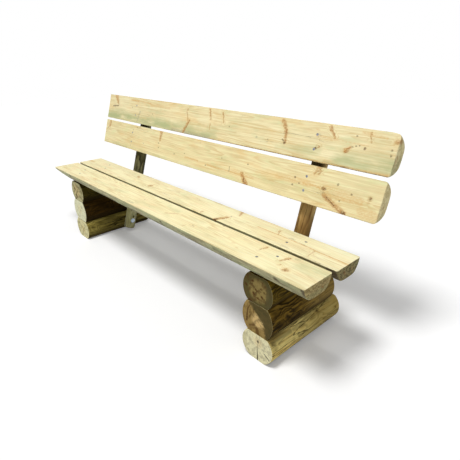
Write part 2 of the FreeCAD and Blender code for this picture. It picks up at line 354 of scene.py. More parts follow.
def gathered(tree, position, rows, soft_share, softest=5.0, reach=16.0):
    """All the marks of one kind: the strongest mark, rim and nearness at each point."""
    totals = {}
    for start, end, start_radius, end_radius, strength in rows:
        softness = min(max((start_radius + end_radius) / 2 * soft_share, 1.2), softest)
        inputs = {
            "Position": position, "Start": start, "End": end, "Start Radius": start_radius,
            "End Radius": end_radius, "Softness": softness, "Strength": strength, "Reach": reach,
        }
        for label, amount in use_group(tree, wood_mark, inputs).items():
            totals[label] = totals[label].math("MAXIMUM", amount) if label in totals else amount
    return totals


def join_surface(tree, shader, colour, roughness, relief, distance):
    """Join colour, roughness and relief to the shader. The distance is a full relief's height."""
    bump = add_node(tree, "ShaderNodeBump", {"Strength": 1.0, "Distance": distance, "Height": relief})
    for label, amount in (("Base Color", colour), ("Roughness", roughness), ("Normal", bump)):
        tree.links.new(amount.socket, shader.inputs[label])


def finish_wood(tree, shader, colour, roughness, heights, distance, gloss):
    """Give wood its surface, its relief summed from amounts and how high each stands."""
    relief = heights[0][0] * heights[0][1]
    for amount, depth in heights[1:]:
        relief = relief + amount * depth
    join_surface(tree, shader, colour, roughness, relief, distance)
    shader.inputs["Specular IOR Level"].default_value = gloss


def facing(tree, axis):
    """How squarely a surface faces along one axis of the bench."""
    normal = add_node(tree, "ShaderNodeNewGeometry", output="Normal")
    return normal.parts()["XYZ".index(axis)].math("ABSOLUTE").fade(0.55, 0.9)


mark_finishes = {
    # core colour, rim colour if it has one, softness as a share of the radius, the greatest
    # softness, and how far the mark is shaken along and across the grain
    "green": (rgb(184, 189, 138), None, 1.0, 22.0, (40.0, 14.0)),
    "grey": (rgb(168, 164, 136), rgb(160, 154, 126), 0.9, 8.0, (24.0, 8.0)),
    "resin": (rgb(224, 182, 114), rgb(210, 162, 94), 0.9, 6.0, (24.0, 8.0)),
    "knot": (rgb(212, 162, 96), rgb(146, 90, 42), 0.65, 4.5, (20.0, 8.0)),
    "dark": (rgb(104, 72, 38), rgb(72, 50, 26), 0.6, 3.0, (8.0, 4.0)),
}


def on_face(rows):
    """Marks given on a sawn face as x, across, x, across, radius, radius and strength."""
    return [((x0, a0, 0), (x1, a1, 0), r0, r1, s) for x0, a0, x1, a1, r0, r1, s in rows]


def below_face(rows):
    """Marks given under the sawn face, on an edge or an end, with the depth after each place."""
    return [((x0, a0, z0), (x1, a1, z1), r0, r1, s) for x0, a0, z0, x1, a1, z1, r0, r1, s in rows]


def darker(colour, share):
    """A colour with only this share of its light."""
    return tuple(channel * share for channel in colour[:3]) + (1.0,)


def board_wood(name, turn, place, seed, shades, marks):
    """Sawn softwood of one board, with its own marks on the sawn face."""
    pale, deep, green, peach, side_tint, underside_darkening, end_pale, end_deep, lined = shades
    material, tree, shader = new_material(name)
    position = piece_position(tree, turn, place)
    x, across, depth = position.parts()
    own = {"Position": position, "Seed": seed}

    def patches(length, width, height, detail, roughness, output=0):
        """Noise with patches of these sizes along, across and into the board."""
        spread = vector_of(tree, x / length + seed, across / width, depth / height)
        return noise(tree, spread, detail, roughness, output)

    found = {}
    for kind, (_, _, share, softest, shake) in mark_finishes.items():
        grown = shaken(tree, position, *shake, seed)
        found[kind] = gathered(tree, grown, on_face(marks[kind]), share, softest)
    near = found["knot"]["Near"]
    pith = position.vector_math("ADD", (0, 0, -slab_pith_offset))
    ring_sizes = {"Position": pith, "Ring Width": 6.0, "Wander": 3.0}
    late = use_group(tree, growth_rings, {**own, **ring_sizes})["Late Wood"]
    figure_sizes = {"Length": 760.0, "Width": 34.0, "Count": 13.0, "Push": near * 1.6}
    figure = use_group(tree, grain_figure, {**own, **figure_sizes})["Line"]
    fibre, streak = use_group(tree, wood_fibres, {**own, "Length": 90.0, "Width": 1.2}).values()
    lines = use_group(tree, wood_fibres, {**own, "Length": 420.0, "Width": 5.0})["Fibre"]
    stain = use_group(tree, weather_stain, {**own, "Size": 60.0, "Amount": 0.6})["Stain"]
    crack_sizes = {"Length": 320.0, "Spacing": 20.0, "Width": 0.016, "Amount": 0.3}
    cracks = use_group(tree, drying_cracks, {**own, **crack_sizes})["Crack"]
    hue, tone, patch = patches(150.0, 42.0, 42.0, 3.0, 0.6, output=1).parts()
    flecks = patches(9.0, 6.0, 6.0, 3.0, 0.65)
    speckle = patches(30.0, 15.0, 11.0, 3.0, 0.62)
    coarse = patches(40.0, 13.0, 9.0, 4.0, 0.7)
    broken = flecks.fade(0.3, 0.6) * 0.4 + 0.6

    long_edge = across.math("ABSOLUTE").fade(slab_radius - 7.0, slab_radius) * patch.fade(0.4, 0.6)
    face = layered(
        tree, pale,
        (streak.fade(0.34, 0.68) * 0.55, deep),
        (hue.fade(0.5, 0.68) * 0.6, green),
        (tone.fade(0.5, 0.7) * 0.55, peach),
        (lines.fade(0.48, 0.7) * lined, rgb(222, 194, 136)),
        (figure * 0.42, rgb(208, 170, 104)),
        (fibre.fade(0.52, 0.78) * 0.32, rgb(188, 158, 100)),
        (stain * 0.35, rgb(204, 194, 142)),
        (near * patch.fade(0.3, 0.7) * 0.45, rgb(226, 194, 130)),
        (long_edge * 0.4, rgb(180, 168, 116)),
    )
    side_deep = darker(side_tint, 0.42)
    side_green = tuple(channel * share for channel, share in zip(side_tint, (0.66, 0.82, 0.74, 1.0)))
    # The round side darkens in patches towards its underside.
    side_underside_dark = patch.fade(0.4, 0.55) * underside_darkening
    # Dark wane on the round side's edges; some rows on the rails and the rear plank are painted shade along
    # lower edges and in the gap between the planks.
    wane_and_shade = gathered(tree, shaken(tree, position, 14.0, 7.0, seed), below_face(marks["edge"]), 0.8)["Mark"]
    side = layered(
        tree, side_tint,
        (lines.fade(0.42, 0.62) * 0.6, side_deep),
        (streak.fade(0.42, 0.62) * 0.5, side_deep),
        (speckle.fade(0.46, 0.62) * 0.6, side_deep),
        (hue.fade(0.4, 0.6) * 0.5, side_green),
        (stain * 0.35, rgb(88, 78, 46)),
        (figure * 0.4, rgb(96, 76, 42)),
        (fibre.fade(0.5, 0.75) * 0.4, side_deep),
        (depth.fade(-16.0, -40.0) * side_underside_dark, rgb(66, 56, 30)),
        (wane_and_shade * broken, rgb(58, 36, 16)),
    )
    cut = layered(
        tree, end_pale,
        (coarse.fade(0.4, 0.6) * 0.8, end_deep),
        (late * 0.55, end_deep),
        (fibre.fade(0.45, 0.75) * 0.4, end_deep),
    )
    for kind, tint in (("end grime", rgb(148, 152, 108)), ("end knot", rgb(172, 120, 64))):
        mark = gathered(tree, shaken(tree, position, 2.0, 8.0, seed), below_face(marks[kind]), 0.7, 14.0)
        cut = blend(tree, mark["Mark"] * broken, cut, tint)
    on_end = facing(tree, "X")
    colour = layered(tree, face, (depth.fade(-0.8, -4.5) * 0.94, side), (on_end, cut))
    at_face = depth.fade(-9.0, -5.0)
    texture = flecks.fade(0.34, 0.6) * 0.75 + 0.25
    for kind, (core, rim, _, _, _) in mark_finishes.items():
        share = ((hue + patch).fade(0.6, 1.15) if kind == "green" else texture) * at_face
        colour = blend(tree, found[kind]["Mark"] * share, colour, core)
        if rim:
            colour = blend(tree, found[kind]["Rim"] * share, colour, rim)
    colour = blend(tree, cracks * 0.6, colour, rgb(132, 104, 64))
    rough = fibre * 0.2 + on_end * 0.15 + 0.5
    heights = [
        (fibre, 0.4), (lines, 0.5), (figure, 0.3), (late * on_end, 0.5), (coarse * on_end, 0.8),
        (cracks, -1.2), (found["knot"]["Mark"], 0.3), (found["dark"]["Mark"], -0.6), (wane_and_shade, -0.5),
    ]
    finish_wood(tree, shader, colour, rough, heights, 0.0006, 0.2)
    return material


def bark_side(tree, own, pale, deep, grime, grain, near):
    """The round side of a peeled trunk: its colour, its relief and its fibres."""
    fibre, streak = use_group(tree, wood_fibres, {**own, "Length": 60.0, "Width": 2.6}).values()
    figure_sizes = {"Length": 330.0, "Width": 56.0, "Count": 7.0, "Push": near * 3.2}
    figure = use_group(tree, grain_figure, {**own, **figure_sizes})["Line"]
    stain = use_group(tree, weather_stain, {**own, "Size": 55.0, "Amount": 0.9})["Stain"]
    moss_sizes = {"Size": 40.0, "Amount": 0.8, "Seed": own["Seed"] + 7}
    moss = use_group(tree, weather_stain, {**own, **moss_sizes})["Stain"]
    crack_sizes = {"Length": 330.0, "Spacing": 24.0, "Width": 0.035, "Amount": 0.55}
    cracks = use_group(tree, drying_cracks, {**own, **crack_sizes})["Crack"]
    dark = darker(deep, 0.22)
    side = layered(
        tree, pale,
        (streak.fade(0.36, 0.64), deep),
        (stain * grime, dark),
        (moss * 0.5, pale),
        (figure * grain, dark),
        (fibre.fade(0.5, 0.8) * (grain * 0.6), dark),
        (cracks * 0.85, rgb(22, 15, 7)),
    )
    return side, [(streak, 1.2), (fibre, 0.5), (figure, -0.9), (cracks, -2.2)], fibre, streak


def log_wood(name, turn, place, seed, finish):
    """A peeled log: a weathered round side, and sawn ends with their own marks."""
    material, tree, shader = new_material(name)
    position = piece_position(tree, turn, place)
    own = {"Position": position, "Seed": seed}

    def drawn(kind, shake, more_seed, *softness):
        """The marks of one kind on the front end."""
        grown = shaken(tree, position, 2.0, shake, seed + more_seed)
        return gathered(tree, grown, finish[kind], *softness)["Mark"]

    heart_y, heart_z, heart_radius = finish["heart"]
    pith = position.vector_math("ADD", (0, -heart_y, -heart_z))
    rings = use_group(tree, growth_rings, {**own, "Position": pith, "Ring Width": 4.4, "Wander": 4.0})
    scars = gathered(tree, shaken(tree, position, 14.0, 7.0, seed), finish["scars"], 0.8, reach=42.0)
    along, across, up = position.parts()
    pale, deep = finish["side"]
    # The side that faces the outer way takes the outer colour; on the left logs the other, darker side colour
    # is partly painted shade under the seat.
    pale = blend(tree, (across * finish["outer way"]).fade(-12.0, 12.0), pale, finish["outer"])
    side, side_heights, fibre, _ = bark_side(tree, own, pale, deep, *finish["grime"], scars["Near"])
    rear_tint, rear_share = finish["rear"]
    side = layered(
        tree, side,
        (along.fade(150.0, 300.0) * rear_share, rear_tint),
        # Painted contact shade: darker along the underside, where the log meets the floor or the log below.
        (up.fade(-14.0, -38.0) * 0.75, rgb(44, 34, 14)),
        (scars["Mark"] * 0.9, rgb(30, 21, 9)),
    )
    shade = drawn("shade", 26.0, 9.0, 0.2, 9.0)
    spots = drawn("spots", 9.0, 3.0, 0.7)
    splits = drawn("splits", 5.0, 5.0, 0.6)
    cloud = noise(tree, position.vector_math("MULTIPLY", (0.05, 0.05, 0.05)), 4.0, 0.65)
    outer_end, heart_end = finish["end"]
    end = layered(
        tree, outer_end,
        (rings["Radius"].fade(heart_radius + 12.0, heart_radius - 12.0), heart_end),
        (along.fade(150.0, 250.0) * 0.65, rgb(204, 184, 132)),
        (cloud.fade(0.44, 0.62) * finish["mottle"], rgb(86, 66, 36)),
        (shade * (cloud.fade(0.7, 0.4) * 0.25 + 0.75), finish["shade_colour"]),
        (rings["Late Wood"] * 0.4, rgb(132, 102, 58)),
        (fibre.fade(0.45, 0.75) * 0.35, rgb(108, 88, 50)),
        (spots, rgb(80, 50, 22)),
        (splits, rgb(52, 34, 16)),
    )
    on_end = facing(tree, "Y")
    on_side = on_end * -1.0 + 1.0
    rim = on_end.fade(0.02, 0.4) * on_end.fade(0.98, 0.6)
    colour = layered(tree, side, (on_end, end), (rim * 0.7, rgb(198, 190, 144)))
    heights = [(amount * on_side, depth) for amount, depth in side_heights]
    heights += [(fibre * on_end, 0.4), (splits, -2.2), (spots, -0.3), (scars["Mark"], -1.2)]
    finish_wood(tree, shader, colour, fibre * 0.25 + 0.55, heights, 0.0012, 0.03)
    return material


pole_marks = [
    ((66, -32, 12), (72, -32, 13), 5, 4, 0.9), ((120, -20, -28), (126, -20, -28), 4, 3, 0.6),
    ((455, 28, 18), (462, 28, 18), 6, 4, 0.7), ((520, 20, 28), (526, 20, 28), 6, 5, 0.7),
    ((380, -34, 6), (384, -34, 6), 4, 3, 0.6), ((300, 30, -16), (306, 30, -16), 5, 4, 0.6),
    ((690, 33, 8), (696, 33, 8), 5, 4, 0.6), ((610, 10, -34), (616, 10, -34), 5, 4, 0.6),
]


def pole_wood(name, turn, place, seed, pale, deep, foot_shades, foot_end, grime):
    """A peeled and weathered pole, with a foot of another colour up to where it ends: partly the wood's own
    colour and partly painted shade near the seat.
    """
    material, tree, shader = new_material(name)
    position = piece_position(tree, turn, place)
    own = {"Position": position, "Seed": seed}
    along, back, _ = position.parts()
    knots = gathered(tree, shaken(tree, position, 8.0, 4.0, seed), pole_marks, 0.7)
    # The foot colour is partly the wood's own and partly painted shade near the seat.
    is_foot = along.fade(foot_end + 60.0, foot_end - 60.0)
    pale = blend(tree, is_foot, pale, foot_shades[0])
    side, heights, fibre, streak = bark_side(tree, own, pale, deep, *grime, knots["Near"])
    side = layered(
        tree, side,
        (is_foot * streak.fade(0.4, 0.6) * 0.5, foot_shades[1]),
        # Painted shade on the front of the post where it stands behind the rails.
        (along.fade(620.0, 650.0) * back.fade(-4.0, -22.0) * 0.8, rgb(38, 31, 18)),
        (knots["Mark"] * 0.85, rgb(40, 27, 13)),
    )
    rings = use_group(tree, growth_rings, {**own, "Ring Width": 3.2, "Wander": 3.0})
    half = post_length / 2
    on_end = (along - half).math("ABSOLUTE").fade(half - 4.0, half - 2.5)
    end = blend(tree, rings["Late Wood"] * 0.6, rgb(150, 134, 92), rgb(104, 80, 46))
    colour = blend(tree, on_end, side, end)
    heights.append((knots["Mark"], -1.0))
    finish_wood(tree, shader, colour, fibre * 0.25 + 0.55, heights, 0.0008, 0.08)
    return material


def worn_metal(name, pale, deep, roughness):
    """Plated steel with a mottled, slightly dulled skin."""
    material, tree, shader = new_material(name)
    position = piece_position(tree, (0, 0, 0), (0, 0, 0))
    spots = noise(tree, position.vector_math("MULTIPLY", (0.35, 0.35, 0.35)), 4.0, 0.6)
    scratches = noise(tree, position.vector_math("MULTIPLY", (0.4, 3.0, 0.4)), 2.0)
    colour = blend(tree, spots.fade(0.35, 0.7), pale, deep)
    join_surface(tree, shader, colour, spots * 0.25 + roughness, spots + scratches * 0.5, 0.00006)
    shader.inputs["Metallic"].default_value = 0.85
    return material


# ---- Shapes in plain mesh ----

def from_front(setback):
    return setback - origin_setback


def on_seat(setback):
    """Where a seat plank's own frame stands: sawn face at z = 0, facing up."""
    return Matrix.Translation((0, from_front(setback), seat_height))


def on_back(reach):
    """Where a back rail's own frame stands: sawn face at z = 0, facing the sitter."""
    place = (0, from_front(lean_foot_setback) + reach * math.sin(lean), reach * math.cos(lean))
    return Matrix.Translation(place) @ Matrix.Rotation(math.pi / 2 - lean, 4, "X")


def on_post(post_x):
    """Where a post's own frame stands: foot at the origin, axis along Z."""
    foot_y = post_foot_reach * math.sin(lean) + post_axis_offset * math.cos(lean)
    foot_z = post_foot_reach * math.cos(lean) - post_axis_offset * math.sin(lean)
    place = (post_x, from_front(lean_foot_setback) + foot_y, foot_z)
    return Matrix.Translation(place) @ Matrix.Rotation(-lean, 4, "X")


def post_axis_y(height):
    reach = (height + post_axis_offset * math.sin(lean)) / math.cos(lean)
    return from_front(lean_foot_setback) + reach * math.sin(lean) + post_axis_offset * math.cos(lean)


def softer_least(first, second, reach):
    """The lesser of two lengths, rounded over within a reach of where they cross."""
    share = np.clip(0.5 + 0.5 * (second - first) / reach, 0, 1)
    return second * (1 - share) + first * share - reach * share * (1 - share)


def to_plane(offset, slope):
    """How far a ray runs to a flat, where it runs towards it."""
    return np.where(slope > 1e-3, offset / np.maximum(slope, 1e-3), 1e4)


def to_round(centre_y, centre_z, radius, cosine, sine):
    """How far a ray from the origin runs to the far side of a circle round it."""
    along = centre_y * cosine + centre_z * sine
    return along + np.sqrt(np.maximum(along ** 2 - centre_y ** 2 - centre_z ** 2 + radius ** 2, 1.0))


def swell(seed, turn, place, scale):
    """A slow natural unevenness from -1 to 1 round and along a trunk."""
    rng = np.random.default_rng(seed)
    total = 0
    for waves in range(1, 6):
        phase, other = rng.uniform(0, 2 * math.pi), rng.uniform(0, 2 * math.pi)
        pace = rng.uniform(0.5, 1.5)
        drift = np.sin(place / scale * pace * waves ** 0.5 + other) * 1.5
        total = total + np.sin(waves * turn + phase + drift) / waves
    return total / 2.2


def spread_angles(length_at, count):
    """Ray angles that follow an outline evenly, and closely round its corners."""
    fine = np.linspace(0, 2 * math.pi, 2881)[:-1]
    length = length_at(fine)
    points = np.stack([length * np.cos(fine), length * np.sin(fine)], 1)
    steps = np.roll(points, -1, 0) - points
    heading = np.unwrap(np.arctan2(steps[:, 1], steps[:, 0]))
    turning = np.abs(np.gradient(heading))
    weight = np.hypot(steps[:, 0], steps[:, 1]) / 9.0 + turning / math.radians(9.0)
    total = np.concatenate([[0], np.cumsum(weight)])
    return np.interp(np.linspace(0, total[-1], count, endpoint=False), total, np.append(fine, 2 * math.pi))


def stations(length, gap, edge):
    """Places along a piece, close together near both ends."""
    close = [0, 0.12, 0.35, 0.7, 1.1, 1.7, 2.6, 4.0]
    start = [edge * share for share in close if edge * share < length / 3]
    middle = np.linspace(start[-1] + gap, length - start[-1] - gap, max(2, int(length / gap)))
    return np.array(start + list(middle) + [length - place for place in reversed(start)])


def ring_faces(rings, count):
    """Faces that join rings of points in turn, and close both ends."""
    faces = []
    last = (rings - 1) * count
    for base in range(0, last, count):
        for step in range(count):
            after = (step + 1) % count
            faces.append((base + step, base + after, base + count + after, base + count + step))
    return faces + [tuple(range(count)), tuple(range(last, last + count))]


def skin(name, places, outlines, edge, frame_matrix):
    """A closed skin over outlines set along X, its end rims rounded over by the edge size."""
    rings = []
    length = places[-1]
    for place, outline in zip(places, outlines):
        inside = min(place, length - place)
        inset = edge - math.sqrt(max(edge ** 2 - (edge - min(inside, edge)) ** 2, 0))
        ahead = np.roll(outline, -1, 0) - np.roll(outline, 1, 0)
        normal = np.stack([ahead[:, 1], -ahead[:, 0]], 1) / np.hypot(ahead[:, 0], ahead[:, 1])[:, None]
        outward = outline - outline.mean(0)
        outward = outward / np.hypot(outward[:, 0], outward[:, 1])[:, None]
        squareness = np.maximum((outward * normal).sum(1), 0.4)[:, None]
        rings.append((place, outline - outward * inset / squareness))
    cap_share = 0.94
    first, last = [(place, outline.mean(0) + (outline - outline.mean(0)) * cap_share)
                   for place, outline in (rings[0], rings[-1])]
    rings = [first] + rings + [last]
    points = [(place, y, z) for place, outline in rings for y, z in outline]
    return make_object(name, points, ring_faces(len(rings), outlines.shape[1]), frame_matrix)


def new_object(name, data):
    """An object in the scene, at the origin."""
    made = bpy.data.objects.new(name, data)
    bpy.context.scene.collection.objects.link(made)
    return made


def make_object(name, points, faces, matrix=Matrix.Identity(4)):
    """A mesh object at the origin: the points are placed by the matrix and made metres."""
    mesh = bpy.data.meshes.new(name)
    mesh.from_pydata([tuple(matrix @ Vector(point) * millimetre) for point in points], [], faces)
    body = bmesh.new()
    body.from_mesh(mesh)
    bmesh.ops.recalc_face_normals(body, faces=body.faces)
    body.to_mesh(mesh)
    body.free()
    return new_object(name, mesh)


def lathe(profile, matrix, sides=32):
    """Points and faces of a turned solid about Z, for a cutter."""
    points = []
    for radius, height in profile:
        for step in range(sides):
            angle = 2 * math.pi * step / sides
            points.append(matrix @ Vector((radius * math.cos(angle), radius * math.sin(angle), height)))
    return points, ring_faces(len(profile), sides)


def cut_away(piece, solids, crossing=False):
    """Take turned solids out of a piece. It takes longer where the solids cross one another."""
    points = []
    faces = []
    for solid_points, solid_faces in solids:
        faces += [tuple(corner + len(points) for corner in face) for face in solid_faces]
        points += solid_points
    cutter = make_object("cutter", points, faces)
    modifier = piece.modifiers.new("cut", "BOOLEAN")
    modifier.operation = "DIFFERENCE"
    modifier.solver = "EXACT"
    modifier.use_self = crossing
    modifier.object = cutter
    swap_mesh(piece)
    bpy.data.objects.remove(cutter)
    return piece


def swap_mesh(piece):
    """Turn a piece's modifiers into plain mesh without slivers, and take them off."""
    graph = bpy.context.evaluated_depsgraph_get()
    mesh = bpy.data.meshes.new_from_object(piece.evaluated_get(graph))
    body = bmesh.new()
    body.from_mesh(mesh)
    bmesh.ops.dissolve_degenerate(body, dist=0.01 * millimetre, edges=body.edges)
    body.to_mesh(mesh)
    body.free()
    piece.modifiers.clear()
    piece.data = mesh


def hand_over(piece, material, nodes, sharp=40.0):
    """Shade a finished piece, give it its finish, and let it stand for its CAD nodes."""
    mesh = piece.data
    mesh.shade_smooth()
    mesh.set_sharp_from_angle(angle=math.radians(sharp))
    mesh.materials.clear()
    mesh.materials.append(material)
    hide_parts(*nodes)
    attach(piece, "root")


# ---- Holes ----

screw_points = {
    "left": ((-741.0, -24.0), (-790.0, 31.0)),
    "right": ((741.0, -24.0), (790.0, 31.0)),
}
rail_screw_points = {
    "left": ((-659.0, -28.5), (-659.0, 28.5)),
    "right": ((684.0, -28.5), (684.0, 28.5)),
}
plank_setbacks = {"front": 77.5, "rear": 244.5}
rail_reaches = {"lower": lower_rail_reach, "upper": upper_rail_reach}


def screw_hole(place, x, y, screw_end):
    """The countersunk hole of one wood screw, a little deeper than the screw."""
    profile = ((3.1, -screw_end - 1.0), (3.1, -5.4), (5.6, -screw_sink), (5.9, 2.0))
    return lathe(profile, place @ Matrix.Translation((x, y, 0)))


def seat_holes(row, side):
    place = on_seat(plank_setbacks[row])
    return [screw_hole(place, x, y, seat_screw_end) for x, y in screw_points[side]]


def rail_holes(row, side):
    place = on_back(rail_reaches[row])
    return [screw_hole(place, x, y, rail_screw_end) for x, y in rail_screw_points[side]]


def on_inner_side(side, height):
    """Where a washer's seat stands on a post: +Z runs into the post."""
    sign = side_signs[side]
    seat_x = post_places[side] - sign * (post_radius - spot_face_depth)
    place = Matrix.Translation((seat_x, post_axis_y(height), height))
    return place @ Matrix.Rotation(sign * math.pi / 2, 4, "Y")


def bored(side, height, radius, depth, sides):
    """A round hole into the inner side of a post, from well outside it to this depth."""
    outside = -40.0
    return lathe(((radius, outside), (radius, depth)), on_inner_side(side, height), sides)


def coach_holes(side):
    return [bored(side, height, *coach_hole, 24) for height in coach_screw_heights]


def pin_holes(side):
    holes = []
    for setback in pin_setbacks:
        place = Matrix.Translation((side_signs[side] * stack_centre_x, from_front(setback), 0))
        holes.append(lathe([(pin_hole_radius, height) for height in pin_hole_ends], place, 24))
    return holes


# ---- Seat planks and back rails ----

def make_slab(name, length, shift, thickness, widths, corners, run_out, place, holes, seed):
    """A half-log slab: sawn face up, round side down, with softened edges and end corners.

    It runs along X from its near end. Widths are shares of the half width: of the edge towards
    -Y at the near and the far end, then of the other edge. Corners are sizes of bevels: two at
    the near end, -Y first, then two at the far end. The run-out is how far the underside rises
    at the near end, and over what length.
    """
    centre = -0.45 * thickness
    tip_radius = 2 * slab_radius
    corner_size = 8.0
    gap, edge = 24.0, 2.4
    places = stations(length, gap, edge)

    def ray_lengths(angles, left, right, rise):
        cosine, sine = np.cos(angles), np.sin(angles)
        half = np.where(cosine < 0, left, right)
        offset = (half - slab_radius) * np.sign(cosine)
        sides = to_round(offset, slab_pith_offset - centre, slab_radius, cosine, sine)
        reach = softer_least(sides, to_plane(-centre, sine), 3.0)
        reach = softer_least(reach, to_plane(thickness + centre, -sine), 16.0)
        if rise > 0:
            tip = to_round(0, rise + tip_radius - thickness - centre, tip_radius, cosine, sine)
            reach = softer_least(reach, tip, 6.0)
        return reach

    angles = spread_angles(lambda turn: ray_lengths(turn, slab_radius, slab_radius, 0), 76)
    outlines = []
    for along in places:
        share = along / length
        left = slab_radius * (widths[0] + (widths[1] - widths[0]) * share)
        right = slab_radius * (widths[2] + (widths[3] - widths[2]) * share)
        rise = run_out[0] * max(0.0, 1 - along / run_out[1]) if run_out else 0
        reach = ray_lengths(angles, left, right, rise)
        below = np.clip(-np.sin(angles) + 0.15, 0, 1)
        reach = reach - (1 + swell(seed, angles, along, 260.0)) * 0.55 * below
        y = reach * np.cos(angles)
        z = centre + reach * np.sin(angles)
        to_ends = (along, along, length - along, length - along)
        for near, corner, half, sign in zip(to_ends, corners, (left, right) * 2, (-1, 1) * 2):
            radius = corner * corner_size
            if near < radius:
                limit = half - (radius - math.sqrt(radius ** 2 - (radius - near) ** 2))
                y = np.where(y * sign > 0, y * limit / half, y)
        outlines.append(np.stack([y, z], 1))
    matrix = place @ Matrix.Translation((shift - length / 2, 0, 0))
    piece = skin(name, places, np.array(outlines), edge, matrix)
    return cut_away(piece, holes)


board_shades = {
    # pale wood, deep wood, green tint, peach tint, round side and how much it darkens towards its underside,
    # the sawn end, pale and deep, and how strongly the face is lined
    "front": (rgb(254, 248, 206), rgb(245, 229, 170), rgb(243, 243, 196), rgb(249, 227, 180),
              rgb(232, 226, 175), 0.7, rgb(206, 186, 128), rgb(120, 100, 56), 0.3),
    # The rear plank's round side is darker, partly its own weathered wood and partly painted shade from the
    # gap between the planks.
    "rear": (rgb(254, 248, 208), rgb(245, 231, 174), rgb(241, 241, 196), rgb(249, 227, 182),
             rgb(162, 152, 100), 0.8, rgb(176, 162, 110), rgb(56, 48, 24), 0.35),
    "lower": (rgb(248, 238, 192), rgb(226, 207, 150), rgb(226, 226, 172), rgb(238, 208, 148),
              rgb(236, 224, 168), 0.35, rgb(255, 242, 192), rgb(216, 196, 136), 0.5),
    "upper": (rgb(250, 240, 196), rgb(226, 208, 152), rgb(217, 220, 172), rgb(240, 212, 154),
              rgb(230, 218, 162), 0.45, rgb(255, 244, 192), rgb(206, 188, 130), 0.6),
}

plank_marks = {
    "front": {
        "knot": [
            (716, 57, 712, 20, 5, 2, 0.7), (830, 50, 815, 12, 7, 3, 0.8),
            (871, -23, 872, -23, 11, 10, 0.75), (165, -20, 215, 15, 4, 3, 0.45),
            (-711, 65, -708, 65, 5, 4, 0.5), (336, -45, 338, -45, 4, 3, 0.5),
            (835, -7, 836, -7, 4, 3, 0.8),
        ],
        "dark": [
            (459, 74, 459, 80, 5, 4, 0.6), (402, 76, 402, 82, 4, 3, 0.6),
            (871, -23, 873, -23, 4, 3, 0.45), (-55, 9, -54, 9, 3, 2, 0.4),
        ],
        "resin": [
            (-570, -8, -556, -8, 11, 8, 0.4), (-417, 47, -410, 47, 6, 4, 0.45),
            (-315, -10, -305, -10, 6, 4, 0.4), (-251, -25, -244, -25, 5, 4, 0.4),
            (556, 15, 565, 15, 5, 3, 0.3), (599, -8, 608, -8, 4, 3, 0.3),
            (638, -27, 644, -27, 4, 3, 0.3), (-410, -62, -400, -62, 5, 3, 0.4),
        ],
        "grey": [(-100, -60, -55, -60, 6, 5, 0.35)],
        "green": [
            (900, 34, 985, 44, 24, 22, 0.55), (853, 65, 860, 65, 8, 6, 0.35),
            (110, 44, 190, 34, 20, 16, 0.4),
        ],
        "edge": [
            (202, -76, -18, 216, -71, -36, 8, 6, 1.0), (868, -77, -13, 903, -75, -28, 7, 5, 1.0),
            (984, -77, 0, 987, -74, -38, 9, 8, 0.95), (925, -77, -2, 930, -77, -10, 4, 3, 0.5),
            (-775, -76, -8, -760, -76, -16, 6, 4, 0.8), (560, -76, -16, 660, -76, -20, 7, 6, 0.6),
            (330, -76, -20, 380, -76, -22, 5, 5, 0.5), (-120, -76, -18, -40, -76, -20, 4, 4, 0.5),
        ],
        "end knot": [(990, 20, -30, 990, 26, -34, 4, 3, 0.5)],
        "end grime": [(990, -60, -40, 990, 60, -40, 9, 9, 0.4)],
    },
    "rear": {
        "knot": [
            (-428, 31, -400, 15, 9, 3, 0.6), (-228, -14, -226, -14, 15, 13, 0.6),
            (400, 78, 425, 30, 8, 3, 0.75), (400, -20, 375, -78, 8, 11, 0.85),
            (655, 35, 672, 5, 5, 2, 0.7), (268, -50, 270, -70, 5, 3, 0.5),
            (857, -8, 863, -58, 3, 2, 0.5),
        ],
        "dark": [
            (-228, -14, -226, -14, 5, 4, 0.4), (405, 1, 406, 1, 4, 3, 0.6),
            (18, -60, 20, -60, 3, 2, 0.5), (381, -60, 376, -78, 5, 8, 0.8),
        ],
        "resin": [
            (-1000, -1, -950, -1, 10, 12, 0.5), (-335, -3, -330, -3, 6, 4, 0.4),
            (-396, -14, -390, -14, 5, 4, 0.4), (562, 4, 675, 4, 2, 2.5, 0.75),
            (675, 4, 816, 0, 2.5, 2.5, 0.8), (816, 0, 871, -4, 2.5, 2.5, 0.8),
            (871, -4, 994, -8, 2.5, 3, 0.8),
        ],
        "grey": [(-405, 78, -333, 80, 9, 8, 0.5), (160, 78, 277, 80, 8, 8, 0.45)],
        "green": [(-80, 30, 20, 34, 16, 12, 0.15)],
        "edge": [
            # The second row, at the right end, is dark wane darkened further by painted shade in the gap
            # between the planks.
            (300, -76, -14, 340, -76, -18, 6, 5, 0.5), (972, -77, -2, 990, -74, -46, 22, 20, 1.0),
        ],
        "end knot": [
            (996, -30, -20, 996, -20, -34, 5, 4, 0.35), (996, 20, -26, 996, 34, -20, 5, 3, 0.3),
        ],
        "end grime": [(996, 40, -20, 996, 60, -10, 7, 6, 0.4)],
    },
}
